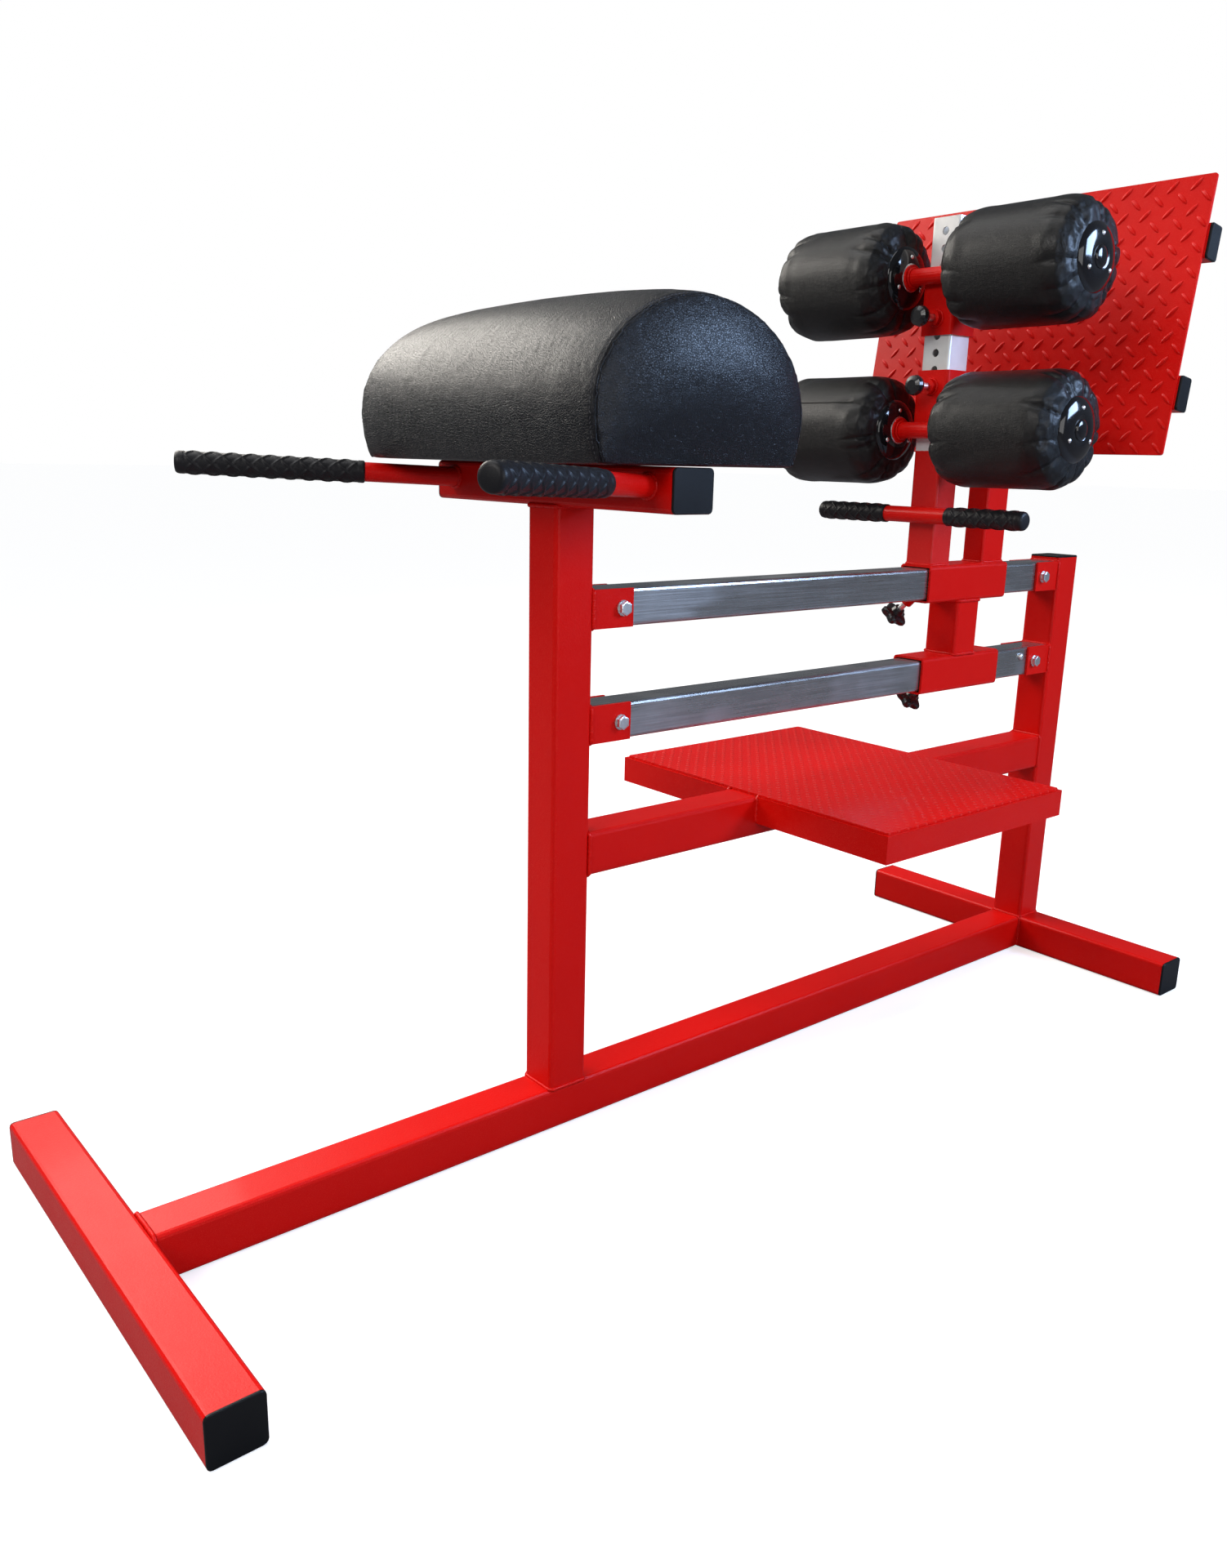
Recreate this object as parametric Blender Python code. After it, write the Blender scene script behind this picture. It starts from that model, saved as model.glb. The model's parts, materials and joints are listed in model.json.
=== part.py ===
"""Roman chair (glute-ham bench) for Blender 4.5.

Run it with: blender --background --python part.py
Metres, +Z up.  +X runs from the body pad to the footplate, -Y is the near
side, and the origin is the middle of the footprint on the floor.  Every
sub-part is one closed solid with its own name and material.
"""
import bpy
import bmesh
import math
from mathutils import Matrix, Vector

for old in list(bpy.data.objects):
    bpy.data.objects.remove(old, do_unlink=True)

# ---------------------------------------------------------------- dimensions
LENGTH = 1.777            # front crosspiece to rear crosspiece, over all
GAP = 0.0003              # clearance left between pieces that touch

TUBE = 0.060              # square frame tube
WALL = 0.003
CORNER = 0.006            # outer corner radius of the square tube
CAP = 0.003               # thickness of a plastic end cap's flange
BASE_WIDTH = 0.635        # crosspieces over their caps

CROSSBEAM_Z = 0.8366      # underside of the beam that carries the pad
CROSSBEAM_HEIGHT = 0.050
CROSSBEAM_WIDTH = 0.475
REAR_UPRIGHT_TOP = 0.740
MID_BEAM_TOP = 0.416

RAIL = 0.050              # bare steel slide rails
RAIL_UPPER_Z = 0.709      # rail centre lines
RAIL_LOWER_Z = 0.560
BRACKET_LENGTH = 0.066
BRACKET_PLATE = 0.004
BOLT_INSET = 0.018        # bolt centre from the bracket's free end
BOLT = 0.010

PLATFORM_LENGTH = 0.421
PLATFORM_WIDTH = 0.545
PLATFORM_BAR = 0.040
PLATFORM_SHEET = 0.003

PAD_LENGTH = 0.482        # between the end seams
PAD_DOME = 0.013          # how far the end panels stand out beyond them
PAD_BOTTOM_WIDTH = 0.278
PAD_HALF_WIDTH = 0.1505   # at the widest
PAD_Z = 0.8875
PAD_WIDEST_Z = 0.944
PAD_CROWN_Z = 1.068
PAD_Y = 0.005             # the pad sits a little towards the far side
PAD_SWELL = 0.013         # how much fuller the roll is between its end seams
PAD_SWELL_UP = 0.6        # share of that at the crown

GRIP = 0.029
BAR = 0.025               # round handle tube
HANDLE_SPREAD = 0.195     # where a front handle leaves the crossbeam
HANDLE_Z = 0.8655
HANDLE_ANGLE = math.radians(27)
HANDLE_RISE = math.radians(1.9)
HANDLE_LENGTH = 0.354
HANDLE_GRIP = 0.236

SLEEVE = 0.060            # sleeves that run on the rails
SLEEVE_WALL = 0.0035
SLEEVE_LENGTH = 0.210
POST = 0.050              # roller post, bare above the red length
POST_TOP = 1.2575
HOLE_PITCH = 0.025
HOLE_TOP_Z = 1.2375
HOLE_COUNT = 12
HOLE = 0.012

CARRIER_END = 0.012       # how far a carrier's sleeve runs past its axle
PIN_INSET = 0.0245        # pin from the carrier's free end
PIN_TO_AXLE = {"upper": 0.0605, "lower": 0.0655}
PIN_UPPER_Z = HOLE_TOP_Z - 5 * HOLE_PITCH
PIN_LOWER_Z = HOLE_TOP_Z - 9 * HOLE_PITCH

ROLLER_RADIUS = 0.085
ROLLER_INNER = 0.046      # roller ends, from the machine's middle plane
ROLLER_OUTER = 0.271
HUB_RADIUS = 0.047
HUB_DISC = 0.0075

HANDLEBAR_Z = 0.8175
HANDLEBAR_HALF = 0.196
HANDLEBAR_GRIP = 0.138

FOOT_POST = (0.060, 0.040)
FOOT_POST_TOP = 0.912
FOOTPLATE_X = 1.5344      # lower front edge, from the front end
FOOTPLATE_Z = 0.917
FOOTPLATE_WIDTH = 0.575
FOOTPLATE_HEIGHT = 0.400
FOOTPLATE_LEAN = math.radians(8)
FOOTPLATE_SHEET = 0.004
FOOTBAR = (0.030, 0.050)  # depth and height of the bars behind it
FOOTBAR_UPPER = 0.3078    # up the plate
FOOTBAR_LOWER = 0.0920
SPINE = 0.040
SPINE_FOOT_Z = 0.862      # foot of the spine, behind the footplate post

LOCK_X = {"upper": 1.374, "lower": 1.433}    # clamp knobs, from the front end
LOCK_REACH = 0.016        # how far a knob stands off its boss


def fx(x):
    """A distance from the machine's front end as an X coordinate."""
    return x - LENGTH / 2


FRONT_UPRIGHT_X = fx(0.628)
REAR_UPRIGHT_X = fx(LENGTH - TUBE / 2)
PLATFORM_X = fx(1.1819)
SLED_X = fx(1.450)
SLED_POST_X = fx(1.456)
ROLLER_POST_X = fx(1.374)
FOOT_POST_X = fx(1.525)
AXLE_X = ROLLER_POST_X - SLEEVE / 2 - BAR / 2 + 0.0015
HANDLEBAR_X = ROLLER_POST_X - POST / 2 - BAR / 2 - 0.0002
PAD_X = fx(0.6425)

# ---------------------------------------------------------------- scene setup
part = bpy.data.collections.new("roman_chair")
cutters = bpy.data.collections.new("cutters")
bpy.context.scene.collection.children.link(part)
bpy.context.scene.collection.children.link(cutters)

MATERIALS = {
    "red": ((0.62, 0.012, 0.014, 1), 0.32, 0.0),
    "steel": ((0.42, 0.42, 0.41, 1), 0.38, 1.0),
    "zinc": ((0.72, 0.73, 0.74, 1), 0.25, 1.0),
    "plastic": ((0.012, 0.012, 0.013, 1), 0.45, 0.0),
    "gloss": ((0.008, 0.008, 0.009, 1), 0.15, 0.0),
    "rubber": ((0.018, 0.018, 0.019, 1), 0.75, 0.0),
    "vinyl": ((0.022, 0.022, 0.025, 1), 0.42, 0.0),
}


def material(node, finish):
    colour, roughness, metallic = MATERIALS[finish]
    mat = bpy.data.materials.new(node + "_" + finish)
    mat.use_nodes = True
    bsdf = mat.node_tree.nodes["Principled BSDF"]
    bsdf.inputs["Base Color"].default_value = colour
    bsdf.inputs["Roughness"].default_value = roughness
    bsdf.inputs["Metallic"].default_value = metallic
    mat.diffuse_color = colour
    return mat


def add(name, bm, at, finish=None):
    """Make an object from a bmesh whose points are relative to `at`."""
    bmesh.ops.recalc_face_normals(bm, faces=bm.faces)
    mesh = bpy.data.meshes.new(name)
    bm.to_mesh(mesh)
    bm.free()
    obj = bpy.data.objects.new(name, mesh)
    obj.location = at
    if finish:
        part.objects.link(obj)
        mesh.materials.append(material(name, finish))
    else:
        cutters.objects.link(obj)
        obj.hide_render = True
        obj.display_type = "WIRE"
    return obj


def pivot(name, at, parent=None):
    empty = bpy.data.objects.new(name, None)
    empty.empty_display_size = 0.04
    empty["world"] = list(at)
    empty.location = at
    part.objects.link(empty)
    if parent:
        empty.parent = parent
        empty.location = Vector(at) - Vector(parent["world"])
    return empty


def place(obj, parent):
    """Parent an object under a pivot that may itself hang under another."""
    obj.parent = parent
    obj.location = Vector(obj.location) - Vector(parent["world"])
    return obj


def boolean(obj, other, operation="DIFFERENCE"):
    mod = obj.modifiers.new(operation.lower() + "_" + other.name, "BOOLEAN")
    mod.object = other
    mod.operation = operation
    mod.solver = "EXACT"


# ------------------------------------------------------------- shape helpers
def frame_of(axis):
    """Rotation that takes local Z to the named axis or direction."""
    if axis == "X":
        return Matrix(((0, 0, 1), (1, 0, 0), (0, 1, 0)))
    if axis == "Y":
        return Matrix(((0, 1, 0), (0, 0, 1), (1, 0, 0)))
    if axis == "Z":
        return Matrix.Identity(3)
    return Vector((0, 0, 1)).rotation_difference(Vector(axis)).to_matrix()


def loft(loops, turn=Matrix.Identity(3), ring=False):
    """Skin loops of equal length.  `ring` joins the last loop to the first."""
    bm = bmesh.new()
    rows = [[bm.verts.new(turn @ Vector(p)) for p in loop] for loop in loops]
    pairs = list(zip(rows, rows[1:]))
    if ring:
        pairs.append((rows[-1], rows[0]))
    for a, b in pairs:
        n = len(a)
        for i in range(n):
            j = (i + 1) % n
            bm.faces.new((a[i], a[j], b[j], b[i]))
    if not ring:
        bm.faces.new(rows[0])
        bm.faces.new(rows[-1])
    return bm


def rounded(w, h, r, z, steps=3):
    """Rounded rectangle, w by h, in the plane at height z."""
    points = []
    for sx, sy, start in ((1, 1, 0), (-1, 1, 90), (-1, -1, 180), (1, -1, 270)):
        for k in range(steps + 1):
            a = math.radians(start + 90 * k / steps)
            points.append((sx * (w / 2 - r) + r * math.cos(a),
                           sy * (h / 2 - r) + r * math.sin(a), z))
    return points


def circle(radius, z, count=24):
    return [(radius * math.cos(2 * math.pi * k / count),
             radius * math.sin(2 * math.pi * k / count), z)
            for k in range(count)]


def tube(name, axis, start, end, across, at, finish, wall=WALL, corner=CORNER):
    """Square tube along `axis`, open at both ends.  `across` is (w, h) in the
    two following axes: Y, Z for X; Z, X for Y; X, Y for Z."""
    w, h = across
    inner = (w - 2 * wall, h - 2 * wall, corner - wall + 0.0005)
    loops = [rounded(w, h, corner, start), rounded(w, h, corner, end),
             rounded(*inner, end), rounded(*inner, start)]
    return add(name, loft(loops, frame_of(axis), ring=True), at, finish)


def cap(name, axis, sign, across, at, finish="plastic", plug=0.018,
        wall=WALL, thickness=CAP):
    """Plastic end cap: a flange with a rounded outer edge and a plug that
    fits inside the tube.  `at` is the middle of the tube's end face."""
    w, h = across
    g = 2 * (wall + GAP)
    loops = [rounded(w - g, h - g, 0.0035, -plug),
             rounded(w - g, h - g, 0.0035, GAP),
             rounded(w, h, CORNER, GAP),
             rounded(w, h, CORNER, thickness - 0.001),
             rounded(w - 0.002, h - 0.002, CORNER - 0.001, thickness)]
    turn = frame_of(axis)
    if sign < 0:
        turn = turn @ Matrix.Rotation(math.pi, 3, "X")
    return add(name, loft(loops, turn), at, finish)


def block(name, size, at, finish=None):
    w, d, h = (s / 2 for s in size)
    loops = [[(-w, -d, z), (w, -d, z), (w, d, z), (-w, d, z)] for z in (-h, h)]
    return add(name, loft(loops), at, finish)


def prism(name, outline, z0, z1, at, finish=None):
    loops = [[(x, y, z) for x, y in outline] for z in (z0, z1)]
    return add(name, loft(loops), at, finish)


def turned(name, profile, axis, at, finish=None, ring=False, count=24):
    """Solid of revolution from (radius, distance along the axis) points."""
    loops = [circle(r, z, count) for r, z in profile]
    return add(name, loft(loops, frame_of(axis), ring), at, finish)


# --------------------------------------------------------------- base frame
def base_frame():
    tube_len = BASE_WIDTH - 2 * CAP
    mid_z = TUBE / 2
    for end, x in (("front", fx(TUBE / 2)), ("rear", REAR_UPRIGHT_X)):
        tube(end + "_crosspiece", "Y", -tube_len / 2, tube_len / 2,
             (TUBE, TUBE), (x, 0, mid_z), "red")
        for side, sign in (("near", -1), ("far", 1)):
            cap("%s_foot_cap_%s" % (end, side), "Y", sign, (TUBE, TUBE),
                (x, sign * tube_len / 2, mid_z))
    start, end = fx(TUBE) + GAP, fx(LENGTH - TUBE) - GAP
    tube("base_rail", "X", start, end, (TUBE, TUBE), (0, 0, mid_z), "red")


def uprights():
    height = CROSSBEAM_Z - GAP
    tube("front_upright", "Z", TUBE + GAP, height, (TUBE, TUBE),
         (FRONT_UPRIGHT_X, 0, 0), "red")
    top = REAR_UPRIGHT_TOP
    tube("rear_upright", "Z", TUBE + GAP, top, (TUBE, TUBE),
         (REAR_UPRIGHT_X, 0, 0), "red")
    cap("rear_upright_cap", "Z", 1, (TUBE, TUBE), (REAR_UPRIGHT_X, 0, top))
    beam_start = FRONT_UPRIGHT_X + TUBE / 2 + GAP
    beam_end = REAR_UPRIGHT_X - TUBE / 2 - GAP
    tube("mid_beam", "X", beam_start, beam_end, (TUBE, TUBE),
         (0, 0, MID_BEAM_TOP - TUBE / 2), "red")


def crossbeam():
    length = CROSSBEAM_WIDTH - 2 * CAP
    z = CROSSBEAM_Z + CROSSBEAM_HEIGHT / 2
    size = (CROSSBEAM_HEIGHT, TUBE)
    tube("crossbeam", "Y", -length / 2, length / 2, size,
         (FRONT_UPRIGHT_X, 0, z), "red")
    for side, sign in (("near", -1), ("far", 1)):
        cap("crossbeam_cap_" + side, "Y", sign, size,
            (FRONT_UPRIGHT_X, sign * length / 2, z))


# ------------------------------------------------------------ step platform
def platform():
    """Two U-shaped half frames, one each side of the mid beam, and a sheet."""
    half_x = PLATFORM_LENGTH / 2
    half_y = PLATFORM_WIDTH / 2
    start = TUBE / 2 + GAP
    bar = PLATFORM_BAR
    z1 = MID_BEAM_TOP
    z0 = z1 - bar

    def outline(inset, open_end, sign):
        a, b = half_x - inset, half_x - bar + inset
        c, d = half_y - inset, half_y - bar + inset
        points = [(-a, open_end), (-a, c), (a, c), (a, open_end),
                  (b, open_end), (b, d), (-b, d), (-b, open_end)]
        return [(x, sign * y) for x, y in points]

    for side, sign in (("near", -1), ("far", 1)):
        frame = prism("platform_frame_" + side, outline(0, start, sign),
                      z0, z1, (PLATFORM_X, 0, 0), "red")
        bore = prism("platform_bore_" + side,
                     outline(WALL, start - 0.02, sign), z0 + WALL, z1 - WALL,
                     (PLATFORM_X, 0, 0))
        boolean(frame, bore)
    sheet_z = MID_BEAM_TOP + GAP
    w, d = PLATFORM_LENGTH - 0.008, PLATFORM_WIDTH - 0.008
    loops = [rounded(w, d, 0.004, z) for z in (sheet_z, sheet_z + PLATFORM_SHEET)]
    add("platform_tread", loft(loops), (PLATFORM_X, 0, 0), "red")


# ---------------------------------------------------------------- slide rails
def rail_bracket(name, upright_face, sign, z):
    """U bracket welded to an upright; `sign` points towards the rail."""
    inside = RAIL / 2 + GAP
    outside = inside + BRACKET_PLATE
    back = GAP
    web = back + BRACKET_PLATE
    end = BRACKET_LENGTH
    outline = [(back, -outside), (end, -outside), (end, -inside), (web, -inside),
               (web, inside), (end, inside), (end, outside), (back, outside)]
    outline = [(sign * x, y) for x, y in outline]
    bracket = prism(name, outline, -RAIL / 2, RAIL / 2,
                    (upright_face, 0, z), "red")
    bolt_x = upright_face + sign * (BRACKET_LENGTH - BOLT_INSET)
    hole = turned(name + "_hole", [(BOLT / 2 + GAP, -0.05), (BOLT / 2 + GAP, 0.05)],
                  "Y", (bolt_x, 0, z), count=12)
    boolean(bracket, hole)
    return bolt_x, hole


def rail_bolt(name, x, z):
    """Flange bolt through bracket and rail, its nut run on at the far side."""
    face = RAIL / 2 + GAP + BRACKET_PLATE + GAP

    def hexagon(across, z):
        r = across / math.sqrt(3)
        corners = [Vector((r * math.cos(math.radians(60 * k)),
                           r * math.sin(math.radians(60 * k)), z))
                   for k in range(6)]
        points = []
        for a, b in zip(corners, corners[1:] + corners[:1]):
            points += [tuple(a), tuple((a + b) / 2)]
        return points

    shank, flange, flats = BOLT / 2, 0.0105, 0.0165
    loops = [circle(shank * 0.8, -face - 0.0125, 12),
             circle(shank, -face - 0.0120, 12), circle(shank, -face - 0.009, 12),
             hexagon(flats, -face - 0.009), hexagon(flats, -face - 0.002),
             circle(flange, -face - 0.002, 12), circle(flange, -face, 12),
             circle(shank, -face, 12), circle(shank, face, 12),
             circle(flange, face, 12), circle(flange, face + 0.002, 12),
             hexagon(flats, face + 0.002), hexagon(flats, face + 0.008),
             circle(flats * 0.42, face + 0.0085, 12)]
    turn = frame_of("Y") @ Matrix.Rotation(math.pi, 3, "X")
    add(name, loft(loops, turn), (x, 0, z), "zinc")


def slide_rails():
    front = FRONT_UPRIGHT_X + TUBE / 2
    rear = REAR_UPRIGHT_X - TUBE / 2
    clear = GAP + BRACKET_PLATE + 2 * GAP
    for level, z in (("upper", RAIL_UPPER_Z), ("lower", RAIL_LOWER_Z)):
        rail = tube("slide_rail_" + level, "X", front + clear, rear - clear,
                    (RAIL, RAIL), (0, 0, z), "steel", corner=0.005)
        for end, face, sign in (("front", front, 1), ("rear", rear, -1)):
            name = "%s_%s" % (end, level)
            x, hole = rail_bracket("rail_bracket_" + name, face, sign, z)
            boolean(rail, hole)
            rail_bolt("rail_bolt_" + name, x, z)


# ------------------------------------------------------------------- body pad
def body_pad():
    """Plain solid for the upholstered roll: flat base, bulging sides and an
    elliptical crown, run out along Y."""
    rise = PAD_CROWN_Z - PAD_WIDEST_Z
    profile = [(-PAD_BOTTOM_WIDTH / 2, PAD_Z)]
    steps = 18
    for k in range(steps + 1):
        a = math.pi - math.pi * k / steps
        profile.append((PAD_HALF_WIDTH * math.cos(a),
                        PAD_WIDEST_Z + rise * math.sin(a)))
    profile.append((PAD_BOTTOM_WIDTH / 2, PAD_Z))
    end = PAD_LENGTH / 2
    edge = 0.012
    middle = Vector((0, (PAD_Z + PAD_CROWN_Z) / 2))

    def loop(y, swell, size=1.0):
        """The profile at y, grown all round by `swell` but flat below, and
        then drawn in towards its middle."""
        points = []
        for p in profile:
            away = (Vector(p) - middle).normalized() * swell
            z = PAD_Z if p[1] == PAD_Z else p[1] + away.y * PAD_SWELL_UP
            points.append(((p[0] + away.x) * size, y,
                           middle.y + (z - middle.y) * size))
        return points

    half = [(end + PAD_DOME * (1 - size ** 2), -0.7 * edge, size)
            for size in (0.15, 0.5, 0.8)]
    half += [(end, -0.7 * edge, 1), (end - 0.3 * edge, -0.2 * edge, 1),
             (end - edge, 0, 1), (end - 0.06, 0.6 * PAD_SWELL, 1),
             (end - 0.12, 0.9 * PAD_SWELL, 1)]
    ends = [(-y, swell, size) for y, swell, size in half]
    ends += [(0, PAD_SWELL, 1)] + half[::-1]
    loops = [loop(*row) for row in ends]
    add("body_pad", loft(loops), (PAD_X, PAD_Y, 0), "vinyl")


# ------------------------------------------------------------ handles, grips
def round_bar(name, direction, start, end, at, finish):
    r, inner = BAR / 2, BAR / 2 - 0.0022
    profile = [(r, start), (r, end), (inner, end), (inner, start)]
    return turned(name, profile, direction, at, finish, ring=True)


def grip(name, direction, length, at):
    """Rubber grip: open at its inner end, closed and rounded at its tip."""
    r, bore = GRIP / 2, BAR / 2 + GAP
    tip = 0.004
    profile = [(bore, 0), (bore, length - tip), (0.001, length - tip + GAP)]
    outer = [(0.001, length), (r - 0.006, length), (r - 0.0022, length - 0.0015),
             (r, length - 0.006), (r, 0.002), (r - 0.0015, 0)]
    return turned(name, profile + outer, direction, at, "rubber", ring=True)


def front_handles():
    face_x = FRONT_UPRIGHT_X - TUBE / 2 - GAP
    for side, sign in (("near", -1), ("far", 1)):
        way = Vector((-math.cos(HANDLE_ANGLE) * math.cos(HANDLE_RISE),
                      sign * math.sin(HANDLE_ANGLE) * math.cos(HANDLE_RISE),
                      math.sin(HANDLE_RISE)))
        root = Vector((face_x, sign * HANDLE_SPREAD, HANDLE_Z))
        bar = round_bar("handle_tube_" + side, way, -0.02,
                        HANDLE_LENGTH - 0.0045, root, "red")
        # mitre the inner end flat against the crossbeam's face
        mitre = block("handle_mitre_" + side, (0.08, 0.08, 0.08),
                      root + Vector((0.04, 0, 0)))
        boolean(bar, mitre)
        start = HANDLE_LENGTH - HANDLE_GRIP
        grip("handle_grip_" + side, way, HANDLE_GRIP, root + way * start)


# ----------------------------------------------------------------------- sled
def lock_boss(level, z):
    """The 45 degree line through a sleeve's lower far corner."""
    way = Vector((0, 1, -1)).normalized()
    corner = Vector((fx(LOCK_X[level]), SLEEVE / 2, z - SLEEVE / 2))
    return way, corner


def sleeve(level, z, sled):
    half = SLEEVE / 2
    inner = half - SLEEVE_WALL
    length = SLEEVE_LENGTH
    name = "sled_sleeve_" + level
    body = tube(name, "X", -length / 2, length / 2, (SLEEVE, SLEEVE),
                (SLED_X, 0, z), "red", wall=SLEEVE_WALL)
    way, corner = lock_boss(level, z)
    boss = turned(name + "_boss", [(0.010, -0.012), (0.010, 0.008)], way,
                  corner, count=16)
    bore = block(name + "_bore", (length + 0.1, 2 * inner, 2 * inner),
                 (SLED_X, 0, z))
    thread = turned(name + "_thread", [(0.0063, -0.03), (0.0063, 0.03)], way,
                    corner, count=16)
    boolean(body, boss, "UNION")
    boolean(body, bore)
    boolean(body, thread)
    place(body, sled)


def lock_knob(level, z, sled):
    """Lobed clamp knob with its threaded shank; the tip stops short of the
    rail's corner."""
    way, corner = lock_boss(level, z)
    rail_corner = RAIL * math.sqrt(2) / 2 - 0.0021
    sleeve_corner = SLEEVE * math.sqrt(2) / 2
    tip = rail_corner - sleeve_corner + 0.0006
    base = 0.008 + LOCK_REACH

    def lobed(radius, depth, z, count=30):
        return [((radius + depth * math.cos(10 * math.pi * k / count)) *
                 math.cos(2 * math.pi * k / count),
                 (radius + depth * math.cos(10 * math.pi * k / count)) *
                 math.sin(2 * math.pi * k / count), z) for k in range(count)]

    shank = 0.005
    loops = [circle(shank * 0.8, tip, 30), circle(shank, tip + 0.001, 30),
             circle(shank, base, 30), circle(0.009, base, 30),
             circle(0.011, base + 0.008, 30), lobed(0.018, 0.002, base + 0.010),
             lobed(0.0205, 0.0035, base + 0.013),
             lobed(0.0205, 0.0035, base + 0.019),
             lobed(0.0185, 0.0030, base + 0.0215),
             circle(0.010, base + 0.0235, 30)]
    at = corner
    knob = add("lock_knob_" + level, loft(loops, frame_of(way)), at, "plastic")
    joint = pivot("lock_%s_axis" % level, at, sled)
    place(knob, joint)


def roller_post(sled):
    start = RAIL_UPPER_Z + SLEEVE / 2 + GAP
    post = tube("roller_post", "Z", start, POST_TOP, (POST, POST),
                (ROLLER_POST_X, 0, 0), "zinc", corner=0.004)
    for k in range(HOLE_COUNT):
        z = HOLE_TOP_Z - k * HOLE_PITCH
        hole = turned("post_hole_%02d" % k, [(HOLE / 2, -0.02), (HOLE / 2, 0.02)],
                      "X", (ROLLER_POST_X - POST / 2, 0, z), count=12)
        boolean(post, hole)
    place(post, sled)


def sled_posts(sled):
    low = RAIL_LOWER_Z + SLEEVE / 2 + GAP
    high = RAIL_UPPER_Z - SLEEVE / 2 - GAP
    place(tube("sled_post", "Z", low, high, (TUBE, TUBE),
               (SLED_POST_X, 0, 0), "red"), sled)
    start = RAIL_UPPER_Z + SLEEVE / 2 + GAP
    w, d = FOOT_POST
    place(tube("footplate_post", "Z", start, FOOT_POST_TOP, (w, d),
               (FOOT_POST_X, 0, 0), "red", corner=0.005), sled)


def handlebar(sled):
    at = Vector((HANDLEBAR_X, 0, HANDLEBAR_Z))
    end = HANDLEBAR_HALF - 0.0045
    place(round_bar("handlebar", "Y", -end, end, at, "red"), sled)
    for side, sign in (("near", -1), ("far", 1)):
        start = at + Vector((0, sign * (HANDLEBAR_HALF - HANDLEBAR_GRIP), 0))
        place(grip("handlebar_grip_" + side, (0, sign, 0), HANDLEBAR_GRIP,
                   start), sled)


# ------------------------------------------------------------------ footplate
def footplate(sled):
    """The plate and, welded behind it, a frame of two bars and a spine whose
    foot stands against the back of the footplate post."""
    lean = Matrix.Rotation(FOOTPLATE_LEAN, 3, "Y")
    root = Vector((fx(FOOTPLATE_X), 0, FOOTPLATE_Z))
    w, h = FOOTPLATE_WIDTH, FOOTPLATE_HEIGHT
    loops = [[(x, y, z + h / 2) for y, z, _ in rounded(w, h, 0.004, 0)]
             for x in (0, FOOTPLATE_SHEET)]
    place(add("footplate", loft(loops, lean), root, "red"), sled)

    depth, height = FOOTBAR
    front = FOOTPLATE_SHEET + GAP
    length = w + 0.004
    wall = 0.0025

    # spine: square bar, upright behind the post and then leaning behind the
    # bars, so it is lofted through four places with its hollow inside it
    shift = front + depth - 0.001 + SPINE / 2
    back_of_post = FOOT_POST_X + FOOT_POST[0] / 2 + GAP + SPINE / 2 - root.x
    upright = Matrix.Identity(3)
    low, high = SPINE_FOOT_Z - root.z, FOOTBAR_UPPER + height / 2
    stations = [(Vector((back_of_post, 0, low)), upright),
                (Vector((back_of_post, 0, low + 0.034)), upright),
                (lean @ Vector((shift, 0, 0.050)), lean),
                (lean @ Vector((shift, 0, high)), lean)]

    def skin(size, corner):
        return [[at + tilt @ Vector(p) for p in rounded(size, size, corner, 0)]
                for at, tilt in stations]

    loops = skin(SPINE, 0.004) + skin(SPINE - 2 * wall, 0.002)[::-1]
    frame = add("footplate_frame", loft(loops, ring=True), root, "red")

    turn = lean @ frame_of("Y")
    for level, up in (("upper", FOOTBAR_UPPER), ("lower", FOOTBAR_LOWER)):
        centre = root + lean @ Vector((front + depth / 2, 0, up))
        inner = (height - 2 * wall, depth - 2 * wall, 0.002)
        loops = [rounded(height, depth, 0.004, -length / 2),
                 rounded(height, depth, 0.004, length / 2),
                 rounded(*inner, length / 2), rounded(*inner, -length / 2)]
        bar = add("footplate_bar_" + level, loft(loops, turn, ring=True), centre)
        boolean(frame, bar, "UNION")
        for side, sign in (("near", -1), ("far", 1)):
            g = 2 * (wall + GAP)
            loops = [rounded(height - g, depth - g, 0.0015, -0.014),
                     rounded(height - g, depth - g, 0.0015, GAP),
                     rounded(height, depth, 0.004, GAP),
                     rounded(height, depth, 0.004, 0.003),
                     rounded(height - 0.002, depth - 0.002, 0.003, 0.004)]
            flip = Matrix.Rotation(math.pi if sign < 0 else 0, 3, "X")
            at = centre + Vector((0, sign * length / 2, 0))
            place(add("footplate_cap_%s_%s" % (level, side),
                      loft(loops, turn @ flip), at, "plastic"), sled)
    place(frame, sled)


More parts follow.
